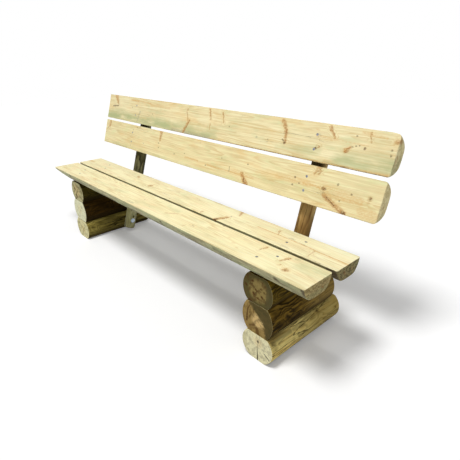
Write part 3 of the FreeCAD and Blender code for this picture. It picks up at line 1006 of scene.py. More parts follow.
rail_marks = {
    "upper": {
        "knot": [
            (-925, 78, -895, 35, 17, 9, 0.75), (-895, 35, -880, 20, 8, 4, 0.6),
            (-120, -5, -155, -66, 6, 9, 0.85), (-149, 36, -130, -5, 3, 3, 0.7),
            (30, 66, 50, 20, 6, 3, 0.8), (130, 58, 145, 15, 4, 2.5, 0.8),
            (505, 62, 530, 25, 8, 7, 0.8), (530, 25, 537, -25, 7, 5, 0.8),
            (735, 62, 765, 25, 7, 3, 0.75), (900, 62, 909, 30, 4, 2, 0.6),
            (1000, 45, 1001, 45, 8, 7, 0.7), (50, -2, 53, -30, 3, 2, 0.6),
            (819, -14, 836, 1, 8, 4, 0.95), (703, -16, 706, -16, 5, 4, 0.6),
            (-150, 50, -146, 50, 6, 5, 0.5),
        ],
        "dark": [
            (-950, 5, -880, 10, 4, 3, 0.75), (534, -24, 535, -24, 6, 5, 0.8),
            (518, -12, 532, -20, 3, 4, 0.6), (842, 5, 845, 5, 3, 2, 0.6),
            (856, 10, 859, 10, 3, 2, 0.6), (870, 13, 873, 13, 3, 2, 0.55),
            (893, 6, 894, 6, 5, 4, 0.75), (691, -24, 692, -24, 5, 4, 0.9),
            (989, 15, 990, 15, 3, 3, 0.7), (992, -3, 993, -3, 4, 3, 0.8),
            (190, 1, 192, 1, 3, 2, 0.6), (850, 45, 852, 45, 3, 2, 0.5),
            (-706, 15, -704, 15, 3, 2, 0.6), (-471, -5, -470, -5, 3, 3, 0.6),
            # The last row on this line and the row below run along the lower edge: painted shade under the
            # rail.
            (-924, -2, -922, -2, 3, 2, 0.5), (-330, -77, 300, -77, 3, 4, 0.85),
            (300, -77, 1004, -77, 4, 4.5, 0.95),
        ],
        "resin": [
            (-729, 58, -640, 57, 4, 4, 0.7), (-640, 57, -540, 53, 2, 2, 0.6),
            (-540, 53, -500, 51, 3.5, 3, 0.7), (-500, 46, -310, 44, 9, 7, 0.3),
            (60, -72, 500, -72, 1.5, 2, 0.6), (500, -72, 1000, -70, 2, 3, 0.6),
            (700, 13, 760, 18, 1.5, 1.5, 0.5), (673, 47, 690, 47, 3, 2, 0.3),
            (870, 60, 960, 52, 5, 4, 0.35), (680, 24, 900, 18, 4, 3, 0.3),
        ],
        # These rows along the lower edge are partly dark wane and partly painted shade under the rail.
        "edge": [(-1000, -76, -6, 0, -76, -6, 4, 5, 0.6), (0, -76, -6, 1000, -76, -6, 5, 6, 0.8)],
        "end knot": [
            (1008, 50, -8, 1008, 46, -10, 8, 7, 0.85), (1008, -4, -14, 1008, -6, -15, 5, 4, 0.7),
            (1008, -17, -10, 1008, -32, -8, 6, 5, 0.5),
        ],
        "end grime": [(1008, -62, -14, 1008, -10, -46, 18, 12, 0.5)],
        "grey": [
            (-611, -6, -629, -60, 6, 6, 0.45), (-260, -66, 60, -71, 8, 8, 0.5),
            (375, -23, 377, -23, 4, 3, 0.5), (693, 28, 697, 28, 6, 5, 0.45),
        ],
        "green": [
            (-1000, -58, -300, -50, 26, 24, 1.0), (-900, -40, -800, -40, 26, 22, 0.6),
            (-600, -42, -500, -42, 24, 22, 0.7), (-424, -34, -301, -38, 20, 18, 0.7),
            (-300, -56, 100, -62, 22, 16, 0.95), (800, -44, 1010, -38, 22, 28, 0.8),
            (500, -50, 700, -30, 10, 18, 0.5), (100, -74, 820, -74, 8, 10, 0.4),
        ],
    },
    "lower": {
        "knot": [
            (-955, 60, -960, 35, 15, 8, 0.6), (-350, 74, -352, 22, 11, 5, 0.75),
            (334, -31, 364, -70, 8, 9, 0.9), (350, -45, 377, -72, 5, 8, 0.8),
            (735, 77, 715, 45, 11, 4, 0.6), (741, 60, 735, 48, 6, 4, 0.6),
            (780, -25, 880, -70, 8, 9, 0.7), (960, -10, 962, -10, 5, 4, 0.3),
            (772, -1, 776, -1, 10, 8, 0.5), (962, 4, 964, 8, 8, 8, 0.4),
        ],
        "dark": [
            (-979, 24, -977, 24, 4, 3, 0.6), (-656, 46, -654, 46, 3, 2, 0.6),
            (-663, -51, -661, -51, 3, 2, 0.6), (-613, 65, -611, 65, 3, 3, 0.6),
            (-518, -19, -516, -19, 3, 2, 0.6), (-362, 6, -360, 6, 3, 3, 0.6),
            (-355, -19, -353, -19, 3, 2, 0.6), (-196, -29, -194, -29, 5, 3, 0.55),
            (-108, -12, -106, -12, 3, 2, 0.5), (75, -41, 77, -41, 3, 3, 0.6),
            (184, 14, 186, 14, 3, 2, 0.6), (248, -16, 249, -40, 2, 2, 0.5),
            (359, 16, 361, 16, 3, 3, 0.6), (630, 14, 631, 14, 4, 4, 0.7),
            (624, -17, 625, -17, 4, 4, 0.7), (655, -6, 656, -6, 3, 3, 0.7),
            (768, -1, 780, -1, 6, 5, 0.55), (828, 24, 828, 26, 3, 5, 0.7),
            (891, 4, 892, 4, 4, 3, 0.7), (964, 5, 964, 8, 4, 5, 0.5),
            (850, -30, 851, -30, 3, 3, 0.5), (875, -68, 882, -69, 6, 4, 0.8),
            (352, -52, 360, -66, 3, 3, 0.5), (790, -28, 834, -52, 1.6, 1.6, 0.7),
            # This long row along the lower edge is painted shade under the rail.
            (-900, -78, 1004, -78, 2.5, 3.5, 0.75),
        ],
        "resin": [
            (-100, -28, 10, -30, 4, 4, 0.55), (86, -37, 409, -38, 4, 3, 0.5),
            (673, 0, 772, 0, 4, 5, 0.6), (980, -40, 990, -40, 12, 10, 0.3),
            (700, -60, 1000, -66, 3, 3, 0.3), (790, -6, 930, -12, 20, 16, 0.35),
            (540, 4, 700, 2, 12, 12, 0.3), (940, -44, 1000, -50, 14, 12, 0.3),
        ],
        "grey": [(870, -66, 884, -70, 6, 5, 0.5)],
        "green": [(-1000, -66, -300, -68, 8, 8, 0.3), (-300, -68, 300, -70, 8, 6, 0.3)],
        # This row along the lower edge is partly dark wane and partly painted shade under the rail.
        "edge": [(300, -76, -8, 1000, -76, -8, 4, 4, 0.4)],
        "end knot": [(1008, -14, -24, 1008, -16, -25, 4, 3, 0.8)],
        "end grime": [(1008, -60, -20, 1008, -40, -36, 8, 8, 0.35)],
    },
}

plank_shapes = {
    "front": (1993.0, -6.5, (1.01, 1.02, 1.01, 1.015), (1.0, 0.8, 0.6, 1.0), (26.0, 170.0)),
    "rear": (2004.0, -6.0, (1.01, 0.98, 1.01, 0.97), (1.0, 0.8, 0.6, 1.0), None),
}
rail_shapes = {
    "lower": ((1.00, 0.995, 1.00, 1.005), (0.5, 0.5, 1.4, 0.9)),
    "upper": ((1.00, 0.99, 1.00, 0.985), (0.5, 0.5, 1.2, 2.4)),
}

for seed, (row, (length, shift, widths, corners, run_out)) in enumerate(plank_shapes.items()):
    place = on_seat(plank_setbacks[row])
    holes = seat_holes(row, "left") + seat_holes(row, "right")
    plank = make_slab(
        row + "_seat_plank", length, shift, plank_thickness, widths, corners, run_out, place, holes, seed + 1
    )
    home = (0, -from_front(plank_setbacks[row]), -seat_height)
    wood = board_wood(
        row + " seat plank wood", (0, 0, 0), home, 3.1 + seed * 5, board_shades[row], plank_marks[row]
    )
    hand_over(plank, wood, ["seat_plank_" + row])

for seed, (row, (widths, corners)) in enumerate(rail_shapes.items()):
    place = on_back(rail_reaches[row])
    holes = rail_holes(row, "left") + rail_holes(row, "right")
    rail = make_slab(
        row + "_back_rail", rail_length, 0, rail_thickness, widths, corners, None, place, holes, seed + 11
    )
    home = place.inverted().translation
    wood = board_wood(
        row + " back rail wood", (lean - math.pi / 2, 0, 0), tuple(home), 17.3 + seed * 4,
        board_shades[row], rail_marks[row],
    )
    hand_over(rail, wood, ["back_rail_" + row])


# ---- Log stacks ----

log_shares = {
    # half width at the front and rear as a share of the usual one, how far the log lies outwards
    # at the front and rear as a share of the usual wander, and its share of the usual length
    ("right", "bottom"): (1.00, 1.03, 0.50, 0.30, 1.00),
    ("right", "middle"): (0.98, 0.99, 0.25, 0.10, 0.89),
    ("right", "top"): (0.94, 0.97, 0.15, 0.20, 0.83),
    ("left", "bottom"): (1.07, 1.10, 0.35, 0.90, 1.01),
    ("left", "middle"): (1.05, 1.04, -0.10, 0.75, 0.94),
    ("left", "top"): (1.01, 1.02, -0.70, 0.55, 0.86),
}


def make_log(side, level, seed):
    """One flatted log, its section a round trunk sawn level above and below."""
    front_share, rear_share, front_place, rear_place, length_share = log_shares[(side, level)]
    widest_share, radius_share = level_shapes[level]
    height = level_heights[level]
    length = log_length * length_share
    radius = height * radius_share
    sign = side_signs[side]
    middle = height / 2
    widest = height * widest_share - middle

    def ray_lengths(angles, share):
        cosine, sine = np.cos(angles), np.sin(angles)
        half = log_radius * (front_share + (rear_share - front_share) * share)
        lean_over = -sign * log_wander * (front_place + (rear_place - front_place) * share)
        offset = lean_over + np.sign(cosine) * (half - radius)
        reach = to_round(offset, widest, radius, cosine, sine)
        reach = reach + swell(seed, angles, share * length, 120.0) * 1.6 - 0.6
        reach = softer_least(reach, to_plane(middle, sine), 5.0)
        return softer_least(reach, to_plane(middle, -sine), 5.0)

    gap, edge = 9.0, 3.0
    places = stations(length, gap, edge)
    angles = spread_angles(lambda turn: ray_lengths(turn, 0.5), 96)
    outlines = []
    for along in places:
        reach = ray_lengths(angles, along / length)
        outlines.append(np.stack([reach * np.cos(angles), reach * np.sin(angles)], 1))
    start = Matrix.Translation((sign * stack_centre_x, from_front(log_setback), level_bases[level] + middle))
    matrix = start @ Matrix.Rotation(math.pi / 2, 4, "Z")
    log = skin(side + "_" + level + "_log", places, np.array(outlines), edge, matrix)
    hollow_radius = post_radius + 0.3
    hollow = lathe(((hollow_radius, 0), (hollow_radius, post_length)), on_post(post_places[side]), 96)
    solids = [hollow] + coach_holes(side) + pin_holes(side)
    if level == "top":
        solids += seat_holes("front", side) + seat_holes("rear", side)
    return cut_away(log, solids, crossing=True)


log_finishes = {
    # Marks on the front end are x, z, x, z, radius, radius, strength from the end's middle, and
    # scars on the side that faces +X are place along the log and height, the same way. Grime is
    # the strength of stains and of dark grain.
    ("right", "bottom"): {
        "side": (rgb(255, 234, 148), rgb(240, 206, 118)), "grime": (0.3, 0.55), "mottle": 0.3,
        "end": (rgb(255, 249, 204), rgb(252, 238, 188)), "heart": (-11, 29, 24.0),
        "shade": [(-60, 30, -60, -30, 12, 12, 0.3)], "shade_colour": rgb(176, 166, 112),
        "spots": [
            (-41, -35, -36, -38, 6, 5, 0.35), (-30, 20, -28, 24, 5, 4, 0.2),
            (30, -35, 36, -30, 6, 4, 0.2),
        ],
        "splits": [
            (11, 31, 12, 27, 5, 4, 0.85), (11, 24, 9, -10, 1, 1.2, 0.45),
            (9, -10, 12, -62, 1.5, 3.5, 0.85), (14, 36, 19, 62, 0.8, 1.2, 0.4),
            (44, 20, 42, 0, 1, 1.4, 0.4), (44, -8, 70, -24, 2, 2.5, 0.7),
        ],
        "scars": [
            (194, -20, 214, -8, 5, 2.5, 0.9), (214, -8, 304, 2, 2, 2, 0.8),
            (304, 2, 344, -15, 2, 2.5, 0.8), (344, -15, 378, -32, 5, 9, 0.85),
            (24, -22, 124, 2, 1.6, 1.6, 0.7), (124, 2, 170, -12, 1.6, 2, 0.6),
            (20, 20, 30, 14, 5, 4, 0.7), (12, 42, 22, 38, 7, 4, 0.7),
            (150, 50, 260, 54, 4, 3, 0.45), (60, -22, 200, -24, 1.4, 1.4, 0.6),
            (296, 52, 306, 46, 5, 4, 0.6), (6, 58, 120, 48, 15, 11, 0.5),
            (140, 46, 200, 40, 8, 5, 0.45),
        ],
    },
    ("right", "middle"): {
        "side": (rgb(148, 118, 48), rgb(70, 48, 11)), "grime": (0.45, 0.9), "mottle": 0.5,
        "end": (rgb(168, 141, 84), rgb(230, 198, 134)), "heart": (-8, -6, 30.0),
        "shade": [(-8, 80, 68, 8, 35, 35, 0.97), (68, 8, 86, -52, 35, 38, 0.97)],
        "shade_colour": rgb(72, 68, 40),
        "spots": [
            (-46, 22, -50, -28, 3, 4, 0.8), (-34, 50, -44, 26, 2, 3, 0.7),
            (-33, -40, -10, -30, 4, 5, 0.6), (4, -41, 10, -62, 8, 9, 0.75),
            (-13, 39, -16, 20, 2, 2, 0.6), (-34, -4, -30, 8, 4, 3, 0.5),
        ],
        "splits": [(-30, 40, -34, 14, 1, 1.4, 0.4)],
        "scars": [
            (84, 16, 96, 4, 8, 6, 0.9), (104, -4, 150, -14, 5, 3, 0.8),
            (120, 22, 170, 30, 3, 3, 0.7), (20, -6, 60, 2, 9, 5, 0.6),
            (180, 20, 300, 34, 3, 2.5, 0.6), (200, -10, 250, -2, 7, 4, 0.6),
            (60, -40, 150, -34, 3, 2.5, 0.6),
        ],
    },
    ("right", "top"): {
        "side": (rgb(148, 121, 42), rgb(86, 67, 16)), "grime": (0.55, 0.75), "mottle": 0.85,
        "end": (rgb(88, 84, 48), rgb(152, 134, 80)), "heart": (-8, 2, 46.0),
        "shade": [(66, 44, 60, -50, 20, 18, 0.75)], "shade_colour": rgb(82, 80, 52),
        "spots": [
            (-56, 6, -52, 2, 5, 4, 0.9), (-24, 31, -20, 32, 5, 4, 0.9), (-6, 1, -2, -1, 5, 4, 0.85),
            (-17, -17, -13, -20, 6, 4, 0.9), (23, -17, 27, -19, 4, 4, 0.8),
            (6, -30, 10, -32, 5, 4, 0.8), (-36, -56, -30, -58, 6, 5, 0.7),
            (17, 13, 20, 12, 3, 3, 0.7), (-50, 44, -44, 50, 5, 4, 0.6),
        ],
        "splits": [(-30, 18, -20, 20, 1.5, 1.5, 0.4)],
        "scars": [(40, 0, 130, -10, 4, 3, 0.7), (150, 28, 220, 16, 4, 5, 0.7)],
    },
    # The side colours of the left logs are darkened for the shade under the seat: painted shade on their
    # inner sides.
    ("left", "bottom"): {
        "side": (rgb(168, 152, 80), rgb(110, 97, 40)), "grime": (0.35, 0.55), "mottle": 0.35,
        "end": (rgb(248, 241, 188), rgb(236, 222, 164)), "heart": (0, 0, 24.0),
        "shade": [(-66, 20, -60, -30, 12, 12, 0.35)], "shade_colour": rgb(166, 164, 110),
        "spots": [(-48, 28, -44, 32, 7, 6, 0.4), (20, 10, 24, 14, 5, 4, 0.3)],
        "splits": [(11, -8, 14, -14, 2, 2, 0.5), (0, 2, 12, -10, 1, 1.2, 0.4)],
        "scars": [
            (30, 22, 42, 18, 6, 5, 0.8), (120, -20, 220, -8, 3, 2, 0.6),
            (60, 40, 200, 44, 4, 3, 0.6),
        ],
    },
    ("left", "middle"): {
        "side": (rgb(74, 52, 14), rgb(42, 29, 6)), "grime": (0.5, 0.6), "mottle": 0.16,
        "end": (rgb(255, 255, 216), rgb(255, 250, 204)), "heart": (0, 6, 30.0),
        "shade": [(70, -30, 66, -50, 12, 10, 0.3)], "shade_colour": rgb(196, 184, 130),
        "spots": [(29, 27, 33, 24, 7, 6, 0.3), (-40, -40, -30, -46, 6, 4, 0.25)],
        "splits": [(0, 6, 20, -6, 0.8, 1, 0.4)],
        "scars": [(54, -8, 150, 8, 4, 3, 0.6), (200, 14, 280, 0, 4, 3, 0.6)],
    },
    ("left", "top"): {
        "side": (rgb(82, 71, 26), rgb(50, 42, 11)), "grime": (0.5, 0.6), "mottle": 0.75,
        "end": (rgb(216, 212, 162), rgb(222, 206, 150)), "heart": (-4, 2, 44.0),
        "shade": [(66, 40, 62, -40, 16, 14, 0.4)], "shade_colour": rgb(140, 134, 92),
        "spots": [
            (8, 34, 16, 30, 9, 6, 0.45), (-22, -30, 0, -36, 8, 6, 0.45),
            (-30, 10, -26, 14, 6, 4, 0.4),
        ],
        "splits": [(-10, 8, 0, 2, 1.2, 1.2, 0.4)],
        "scars": [(70, 10, 160, -4, 4, 3, 0.6)],
    },
}


outer_shades = {
    # The sides that face away from the bench. The left logs' side colours are darkened with painted shade for
    # their inner sides under the seat, so the outer sides take these paler colours.
    ("left", "bottom"): rgb(212, 192, 116), ("left", "middle"): rgb(190, 164, 94),
    ("left", "top"): rgb(160, 134, 68),
}
rear_shades = {
    # The rear part of a side, and how strongly it differs from the front part.
    ("right", "bottom"): (rgb(150, 126, 62), 0.6), ("right", "middle"): (rgb(176, 150, 88), 0.45),
}


def make_log_wood(side, level, seed):
    """The finish of one log."""
    finish = dict(log_finishes[(side, level)])
    finish["outer way"] = -side_signs[side]
    finish["rear"] = rear_shades.get((side, level), (rgb(120, 100, 50), 0.0))
    finish["outer"] = outer_shades.get((side, level), finish["side"][0])
    half = log_radius * log_shares[(side, level)][0]
    for kind in ("shade", "spots", "splits"):
        finish[kind] = [
            ((0, -x0, z0), (0, -x1, z1), r0, r1, s) for x0, z0, x1, z1, r0, r1, s in finish[kind]
        ]
    scars = []
    for x0, z0, x1, z1, r0, r1, s in finish["scars"]:
        depths = [-half * math.sqrt(1 - (z / level_heights[level] / 0.75) ** 2) for z in (z0, z1)]
        scars.append(((x0, depths[0], z0), (x1, depths[1], z1), r0, r1, s))
    finish["scars"] = scars
    middle = level_bases[level] + level_heights[level] / 2
    home = (-from_front(log_setback), side_signs[side] * stack_centre_x, -middle)
    return log_wood(side + " " + level + " log wood", (0, 0, -math.pi / 2), home, seed, finish)


for seed, (side, level) in enumerate(log_shares):
    log = make_log(side, level, seed + 31)
    wood = make_log_wood(side, level, seed * 3.7 + 1.3)
    hand_over(log, wood, ["log_" + side + "_" + level])


# ---- Leaning posts, as a rule in geometry nodes ----

def run_tree(name, tree, values, start=None):
    """Run a geometry tree once on a new object and keep the result as a plain mesh."""
    piece = new_object(name, start or bpy.data.meshes.new(name))
    modifier = piece.modifiers.new("shape", "NODES")
    modifier.node_group = tree
    for item in tree.interface.items_tree:
        if item.item_type == "SOCKET" and item.in_out == "INPUT" and item.name in values:
            modifier[item.identifier] = values[item.name]
    swap_mesh(piece)
    return piece


def round_bar(tree, sides, radius, depth, rows=1):
    """A closed round bar about the origin, along Z."""
    inputs = {"Vertices": sides, "Side Segments": rows, "Radius": radius, "Depth": depth}
    return add_node(tree, "GeometryNodeMeshCylinder", inputs, fill_type="NGON")


def give_finish(tree, take, shape):
    """Make a tree's result real, give it its finish, and put it out."""
    real = add_node(tree, "GeometryNodeRealizeInstances", (shape,))
    done = add_node(tree, "GeometryNodeSetMaterial", {"Geometry": real, "Material": take["Finish"]})
    put_out(tree, Geometry=done)


def make_pole_tree():
    """A round pole along Z: bevelled ends, a slightly uneven skin, and a flat for the rails."""
    tree, take = new_group(
        "GeometryNodeTree", "round pole",
        {"Length": 0.8, "Radius": 0.035, "Bevel": 0.003, "Flat Depth": 0.0025, "Flat Start": 0.4,
         "Unevenness": 0.001, "Seed": 0.0, "Finish": "Material"},
        {"Geometry": "Geometry"},
    )
    rows = 136
    blank = round_bar(tree, 72, 1.0, 1.0, rows)
    x, y, z = add_node(tree, "GeometryNodeInputPosition").parts()
    share = z + 0.5
    to_end = share.math("MINIMUM", share * -1.0 + 1.0)
    is_second = to_end.math("COMPARE", 1.0 / rows, 0.2 / rows)
    upper = share.math("GREATER_THAN", 0.5) * -2.0 + 1.0
    shift = (take["Bevel"] - take["Length"] / rows) * is_second * upper
    height = share * take["Length"] + shift
    is_end = to_end.math("LESS_THAN", 0.2 / rows)
    spread = vector_of(tree, x * 1.5 + take["Seed"], y * 1.5, height * 9.0)
    uneven = noise(tree, spread, 2.0) * take["Unevenness"]
    radius = take["Radius"] - uneven - take["Bevel"] * is_end
    flat = (take["Radius"] - take["Flat Depth"]) * -1.0
    is_flat = height.math("GREATER_THAN", take["Flat Start"])
    across = y * radius
    seated = across + (across.math("MAXIMUM", flat) - across) * is_flat
    place = vector_of(tree, x * radius, seated, height)
    shaped = add_node(tree, "GeometryNodeSetPosition", {"Geometry": blank, "Position": place})
    give_finish(tree, take, shaped)
    return tree


pole_tree = make_pole_tree()
pole_shades = {
    # pale and deep wood above, the same for the foot, how high the foot reaches, and the grime. The foot and
    # the part above differ partly in the wood's own colour and partly in painted shade near the seat.
    "left": (rgb(162, 156, 110), rgb(76, 71, 42), (rgb(250, 247, 194), rgb(220, 214, 150)), 250, (0.4, 0.65)),
    "right": (rgb(226, 197, 136), rgb(188, 148, 90), (rgb(172, 133, 68), rgb(116, 82, 34)), 450, (0.25, 0.5)),
}

for seed, side in enumerate(("left", "right")):
    pole_turn = (lean, math.pi / 2, 0)
    home = Euler(pole_turn, "XYZ").to_matrix() @ -on_post(post_places[side]).translation
    wood = pole_wood(side + " post wood", pole_turn, tuple(home), 41.0 + seed * 6, *pole_shades[side])
    flat_start = (lower_rail_reach - 1.5 * slab_radius - post_foot_reach) * millimetre
    values = {
        "Length": post_length * millimetre, "Radius": post_radius * millimetre, "Bevel": 0.003,
        "Flat Depth": 0.0025, "Flat Start": flat_start, "Unevenness": 0.0012, "Seed": 2.0 + seed * 3,
        "Finish": wood,
    }
    post = run_tree(side + "_post", pole_tree, values)
    place = on_post(post_places[side])
    place.translation *= millimetre
    post.data.transform(place)
    solids = coach_holes(side) + rail_holes("lower", side) + rail_holes("upper", side)
    for height in coach_screw_heights:
        solids.append(bored(side, height, *spot_face, 48))
    solids.append(bored(side, spare_hole_height, *spare_hole, 32))
    hand_over(cut_away(post, solids, crossing=True), wood, ["post_" + side], sharp=32.0)


# ---- Screws and washers, repeated by geometry nodes ----

def cone(tree, sides, bottom, top, depth):
    """A closed cone that stands on the origin, along Z."""
    inputs = {"Vertices": sides, "Radius Bottom": bottom, "Radius Top": top, "Depth": depth}
    return add_node(tree, "GeometryNodeMeshCone", inputs, fill_type="NGON")


def raised(tree, solid, height):
    """A solid moved up along Z."""
    place = vector_of(tree, 0.0, 0.0, height)
    return add_node(tree, "GeometryNodeTransform", {"Geometry": solid, "Translation": place})


def combine_solids(tree, operation, first, others):
    """Join solids, or cut solids from the first."""
    node = tree.nodes.new("GeometryNodeMeshBoolean")
    node.operation = operation
    node.solver = "EXACT"
    if operation == "DIFFERENCE":
        tree.links.new(first.socket, node.inputs["Mesh 1"])
    else:
        others = [first] + others
    for solid in reversed(others):
        tree.links.new(solid.socket, node.inputs["Mesh 2"])
    return Amount(tree, node.outputs["Mesh"])


def repeat_on_points(tree, take, solid, turn):
    """Put a solid on every point, make it real, and give it the finish."""
    inputs = {"Points": take["Geometry"], "Instance": solid, "Rotation": turn}
    give_finish(tree, take, add_node(tree, "GeometryNodeInstanceOnPoints", inputs))


def make_wood_screw_tree():
    """Countersunk screws with a cross recess, one on each point, head up before the turn."""
    tree, take = new_group(
        "GeometryNodeTree", "countersunk screws",
        {"Geometry": "Geometry", "Head Radius": 0.0054, "Head Height": 0.0046,
         "Shank Radius": 0.0029, "Length": 0.1, "Recess Width": 0.0014, "Recess Length": 0.0058,
         "Recess Depth": 0.0024, "Lean": "Rotation", "Seed": 3, "Finish": "Material"},
        {"Geometry": "Geometry"},
    )
    head = cone(tree, 40, take["Shank Radius"], take["Head Radius"], take["Head Height"])
    head = raised(tree, head, take["Head Height"] * -1.0)
    shank_length = take["Length"] - take["Head Height"]
    shank = round_bar(tree, 24, take["Shank Radius"] * 0.97, shank_length)
    shank = raised(tree, shank, (shank_length * 0.5 + take["Head Height"] * 0.8) * -1.0)
    blank = combine_solids(tree, "UNION", head, [shank])
    slots = []
    for turn in (0, math.pi / 2):
        size = vector_of(tree, take["Recess Length"], take["Recess Width"], take["Recess Depth"] * 2.0)
        slot = add_node(tree, "GeometryNodeMeshCube", {"Size": size})
        slots.append(add_node(tree, "GeometryNodeTransform", {"Geometry": slot, "Rotation": (0, 0, turn)}))
    screw = combine_solids(tree, "DIFFERENCE", blank, slots)
    spin = tree.nodes.new("FunctionNodeRandomValue")
    spin.data_type = "FLOAT"
    spin.inputs[3].default_value = math.pi
    tree.links.new(take["Seed"].socket, spin.inputs["Seed"])
    angles = vector_of(tree, 0.0, 0.0, Amount(tree, spin.outputs[1]))
    own_turn = add_node(tree, "FunctionNodeEulerToRotation", (angles,))
    inputs = {"Rotation": take["Lean"], "Rotate By": own_turn}
    turn = add_node(tree, "FunctionNodeRotateRotation", inputs, rotation_space="LOCAL")
    repeat_on_points(tree, take, screw, turn)
    return tree


def make_coach_screw_tree():
    """Hexagon-headed coach screws with a chamfered head, one on each point, head down -Z."""
    tree, take = new_group(
        "GeometryNodeTree", "coach screws",
        {"Geometry": "Geometry", "Across Flats": 0.018, "Head Height": 0.0075,
         "Washer Thickness": 0.0025, "Shank Radius": 0.0058, "Length": 0.112, "Lean": "Rotation",
         "Finish": "Material"},
        {"Geometry": "Geometry"},
    )
    flats, thickness, height = take["Across Flats"], take["Washer Thickness"], take["Head Height"]
    hexagon = round_bar(tree, 6, flats / math.sqrt(3), height)
    chamfer = raised(tree, cone(tree, 48, flats * 0.47, flats * 0.9, height), height * -0.5)
    head = combine_solids(tree, "INTERSECT", hexagon, [chamfer])
    head = raised(tree, head, (thickness + height * 0.5) * -1.0)
    shank_length = take["Length"] + thickness
    shank = round_bar(tree, 32, take["Shank Radius"], shank_length)
    shank = raised(tree, shank, shank_length * 0.5 - thickness * 1.2)
    repeat_on_points(tree, take, combine_solids(tree, "UNION", head, [shank]), take["Lean"])
    return tree


def make_washer_tree():
    """Flat washers with softened rims, one on each point, against z = 0 on the -Z side."""
    tree, take = new_group(
        "GeometryNodeTree", "flat washers",
        {"Geometry": "Geometry", "Outer Radius": 0.015, "Inner Radius": 0.0064, "Thickness": 0.0025,
         "Lean": "Rotation", "Finish": "Material"},
        {"Geometry": "Geometry"},
    )
    outer, thickness = take["Outer Radius"], take["Thickness"]
    disc = round_bar(tree, 72, outer, thickness)
    hole = round_bar(tree, 72, take["Inner Radius"], thickness * 1.4)
    rim = cone(tree, 72, outer - thickness * 0.16, outer + thickness * 0.9, thickness)
    disc = combine_solids(tree, "INTERSECT", disc, [raised(tree, rim, thickness * -0.5)])
    ring = combine_solids(tree, "DIFFERENCE", disc, [hole])
    repeat_on_points(tree, take, raised(tree, ring, thickness * -0.5), take["Lean"])
    return tree


def points_mesh(name, places):
    """A mesh of loose points, from places in millimetres."""
    mesh = bpy.data.meshes.new(name)
    mesh.from_pydata([tuple(Vector(place) * millimetre) for place in places], [], [])
    return mesh


screw_steel = worn_metal("screw steel", rgb(176, 178, 186), rgb(108, 112, 122), 0.32)
# Its pale bluish colour is partly the plating's own and partly painted reflection of a blue sky.
zinc_steel = worn_metal("zinc plated steel", rgb(222, 232, 242), rgb(176, 192, 208), 0.26)
pin_steel = worn_metal("pin steel", rgb(140, 138, 134), rgb(98, 94, 90), 0.4)

wood_screw_tree = make_wood_screw_tree()
coach_screw_tree = make_coach_screw_tree()
washer_tree = make_washer_tree()

for seed, (rows, points, where, prefix, length) in enumerate((
    (plank_setbacks, screw_points, on_seat, "seat", seat_screw_end - screw_sink),
    (rail_reaches, rail_screw_points, on_back, "rail", rail_screw_end - screw_sink),
)):
    places = []
    nodes = []
    for row, distance in rows.items():
        for side in side_signs:
            places += [where(distance) @ Vector((x, y, -screw_sink)) for x, y in points[side]]
            nodes.append(prefix + "_screws_" + row + "_" + side)
    turn = Euler((0, 0, 0)) if prefix == "seat" else Euler((math.pi / 2 - lean, 0, 0))
    values = {"Length": length * millimetre, "Lean": turn, "Seed": 5 + seed, "Finish": screw_steel}
    screws = run_tree(prefix + "_screws", wood_screw_tree, values, points_mesh("screw places", places))
    hand_over(screws, screw_steel, nodes, sharp=28.0)

for side, sign in side_signs.items():
    places = [on_inner_side(side, height).translation for height in coach_screw_heights]
    values = {"Lean": Euler((0, sign * math.pi / 2, 0)), "Finish": zinc_steel}
    for name, tree, points_name, node in (
        ("coach_screws_", coach_screw_tree, "coach screw places", "post_screws_"),
        ("washers_", washer_tree, "washer places", "post_washers_"),
    ):
        piece = run_tree(name + side, tree, values, points_mesh(points_name, places))
        hand_over(piece, zinc_steel, [node + side], sharp=28.0)
    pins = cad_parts["stack_pins_" + side].data.materials
    pins.clear()
    pins.append(pin_steel)


# ---- Floor, light and camera ----

def seen_plainly(tree):
    """1 for what the camera, gloss and glass see, and 0 for the light that falls on the bench."""
    path = tree.nodes.new("ShaderNodeLightPath")
    seen = Amount(tree, path.outputs["Is Camera Ray"])
    for label in ("Is Glossy Ray", "Is Transmission Ray"):
        seen = seen.math("MAXIMUM", Amount(tree, path.outputs[label]))
    return seen


key_place = (0.59, -1.25, 3.27)
room_light = 0.31
floor_reach = 9000
floor_as_seen = 0.88
floor_for_bounces = 0.60
least_floor_glow = 0.11
key_on_floor = 0.59


def make_floor():
    """A plain white floor that keeps the bench's shadow.

    Its glow makes up for the light that the near lamp loses with distance.
    """
    corners = [(x * floor_reach, y * floor_reach, 0) for x, y in ((-1, -1), (1, -1), (1, 1), (-1, 1))]
    piece = make_object("floor", corners, [(0, 1, 2, 3)])
    material, tree, shader = new_material("pale floor")
    shader.inputs["Base Color"].default_value = (floor_for_bounces,) * 3 + (1.0,)
    shader.inputs["Roughness"].default_value = 0.9
    shader.inputs["Specular IOR Level"].default_value = 0.0
    white = add_node(tree, "ShaderNodeBsdfDiffuse", {"Color": (floor_as_seen,) * 3 + (1.0,)})
    lamp_place = tuple(metres / millimetre for metres in key_place)
    distance = piece_position(tree, (0, 0, 0), (0, 0, 0)).vector_math("DISTANCE", lamp_place, output=1)
    lost = (distance / lamp_place[2]).math("POWER", -1.0) * -1.0 + 1.0
    strength = lost * key_on_floor + least_floor_glow
    glow = add_node(tree, "ShaderNodeEmission", {"Color": (1, 1, 1, 1), "Strength": strength})
    shown = add_node(tree, "ShaderNodeAddShader", (white, glow))
    real = Amount(tree, shader.outputs[0])
    mixed = add_node(tree, "ShaderNodeMixShader", (seen_plainly(tree), real, shown))
    end = next(node for node in tree.nodes if node.bl_idname == "ShaderNodeOutputMaterial")
    tree.links.new(mixed.socket, end.inputs["Surface"])
    piece.data.materials.append(material)


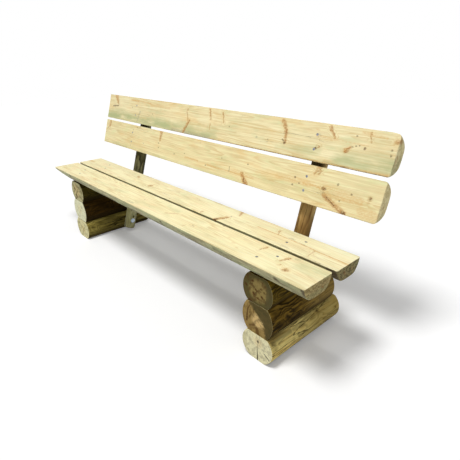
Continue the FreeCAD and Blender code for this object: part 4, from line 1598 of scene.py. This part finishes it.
def make_world():
    """Even studio light; the camera, gloss and glass see plain white."""
    world = bpy.data.worlds.new("studio")
    bpy.context.scene.world = world
    world.use_nodes = True
    tree = world.node_tree
    tree.nodes.clear()
    light = add_node(tree, "ShaderNodeBackground", {"Color": (1, 1, 1, 1), "Strength": room_light})
    white = add_node(tree, "ShaderNodeBackground", {"Color": (1, 1, 1, 1), "Strength": 1.0})
    mixed = add_node(tree, "ShaderNodeMixShader", (seen_plainly(tree), light, white))
    end = tree.nodes.new("ShaderNodeOutputWorld")
    tree.links.new(mixed.socket, end.inputs["Surface"])


def make_near_lamp(name, place, strength, radius):
    """One round lamp near the bench. Its light is as strong on near wood as on far wood."""
    lamp = bpy.data.lights.new(name, "POINT")
    lamp.energy = strength * 4 * math.pi
    lamp.shadow_soft_size = radius
    lamp.use_nodes = True
    nodes = lamp.node_tree.nodes
    even = nodes.new("ShaderNodeLightFalloff")
    even.inputs["Strength"].default_value = 1.0
    lamp.node_tree.links.new(even.outputs["Constant"], nodes["Emission"].inputs["Strength"])
    new_object(name, lamp).location = place


def make_far_lamp(name, direction, strength, breadth):
    """One far lamp. The direction runs towards it, and its breadth in degrees softens shadows."""
    lamp = bpy.data.lights.new(name, "SUN")
    lamp.energy = strength
    lamp.angle = math.radians(breadth)
    new_object(name, lamp).rotation_euler = Vector(direction).to_track_quat("Z", "Y").to_euler()


def make_camera():
    """The photograph's viewpoint."""
    heading, drop, roll = math.radians(-47.2016), math.radians(24.3882), math.radians(0.4739)
    ahead = Vector((math.sin(heading) * math.cos(drop), math.cos(heading) * math.cos(drop), -math.sin(drop)))
    level = Vector((math.cos(heading), -math.sin(heading), 0))
    below = ahead.cross(level)
    right = level * math.cos(roll) + below * math.sin(roll)
    down = below * math.cos(roll) - level * math.sin(roll)
    view = Matrix((right, -down, -ahead)).transposed().to_4x4()
    view.translation = (1.5714, -1.12985, 1.0886)
    lens = bpy.data.cameras.new("camera")
    photo_width, focal_length = 460, 389.0  # both in pixels of the photograph
    lens.sensor_width = 36.0
    lens.lens = focal_length / photo_width * lens.sensor_width
    lens.clip_end = 100.0
    camera = new_object("camera", lens)
    camera.matrix_world = view
    bpy.context.scene.camera = camera


make_floor()
make_world()
make_near_lamp("key", key_place, 2.1, 0.46)
make_far_lamp("fill", (0.6, -0.6, 0.52), 0.52, 80)
make_camera()
bpy.context.scene.view_settings.view_transform = "Standard"
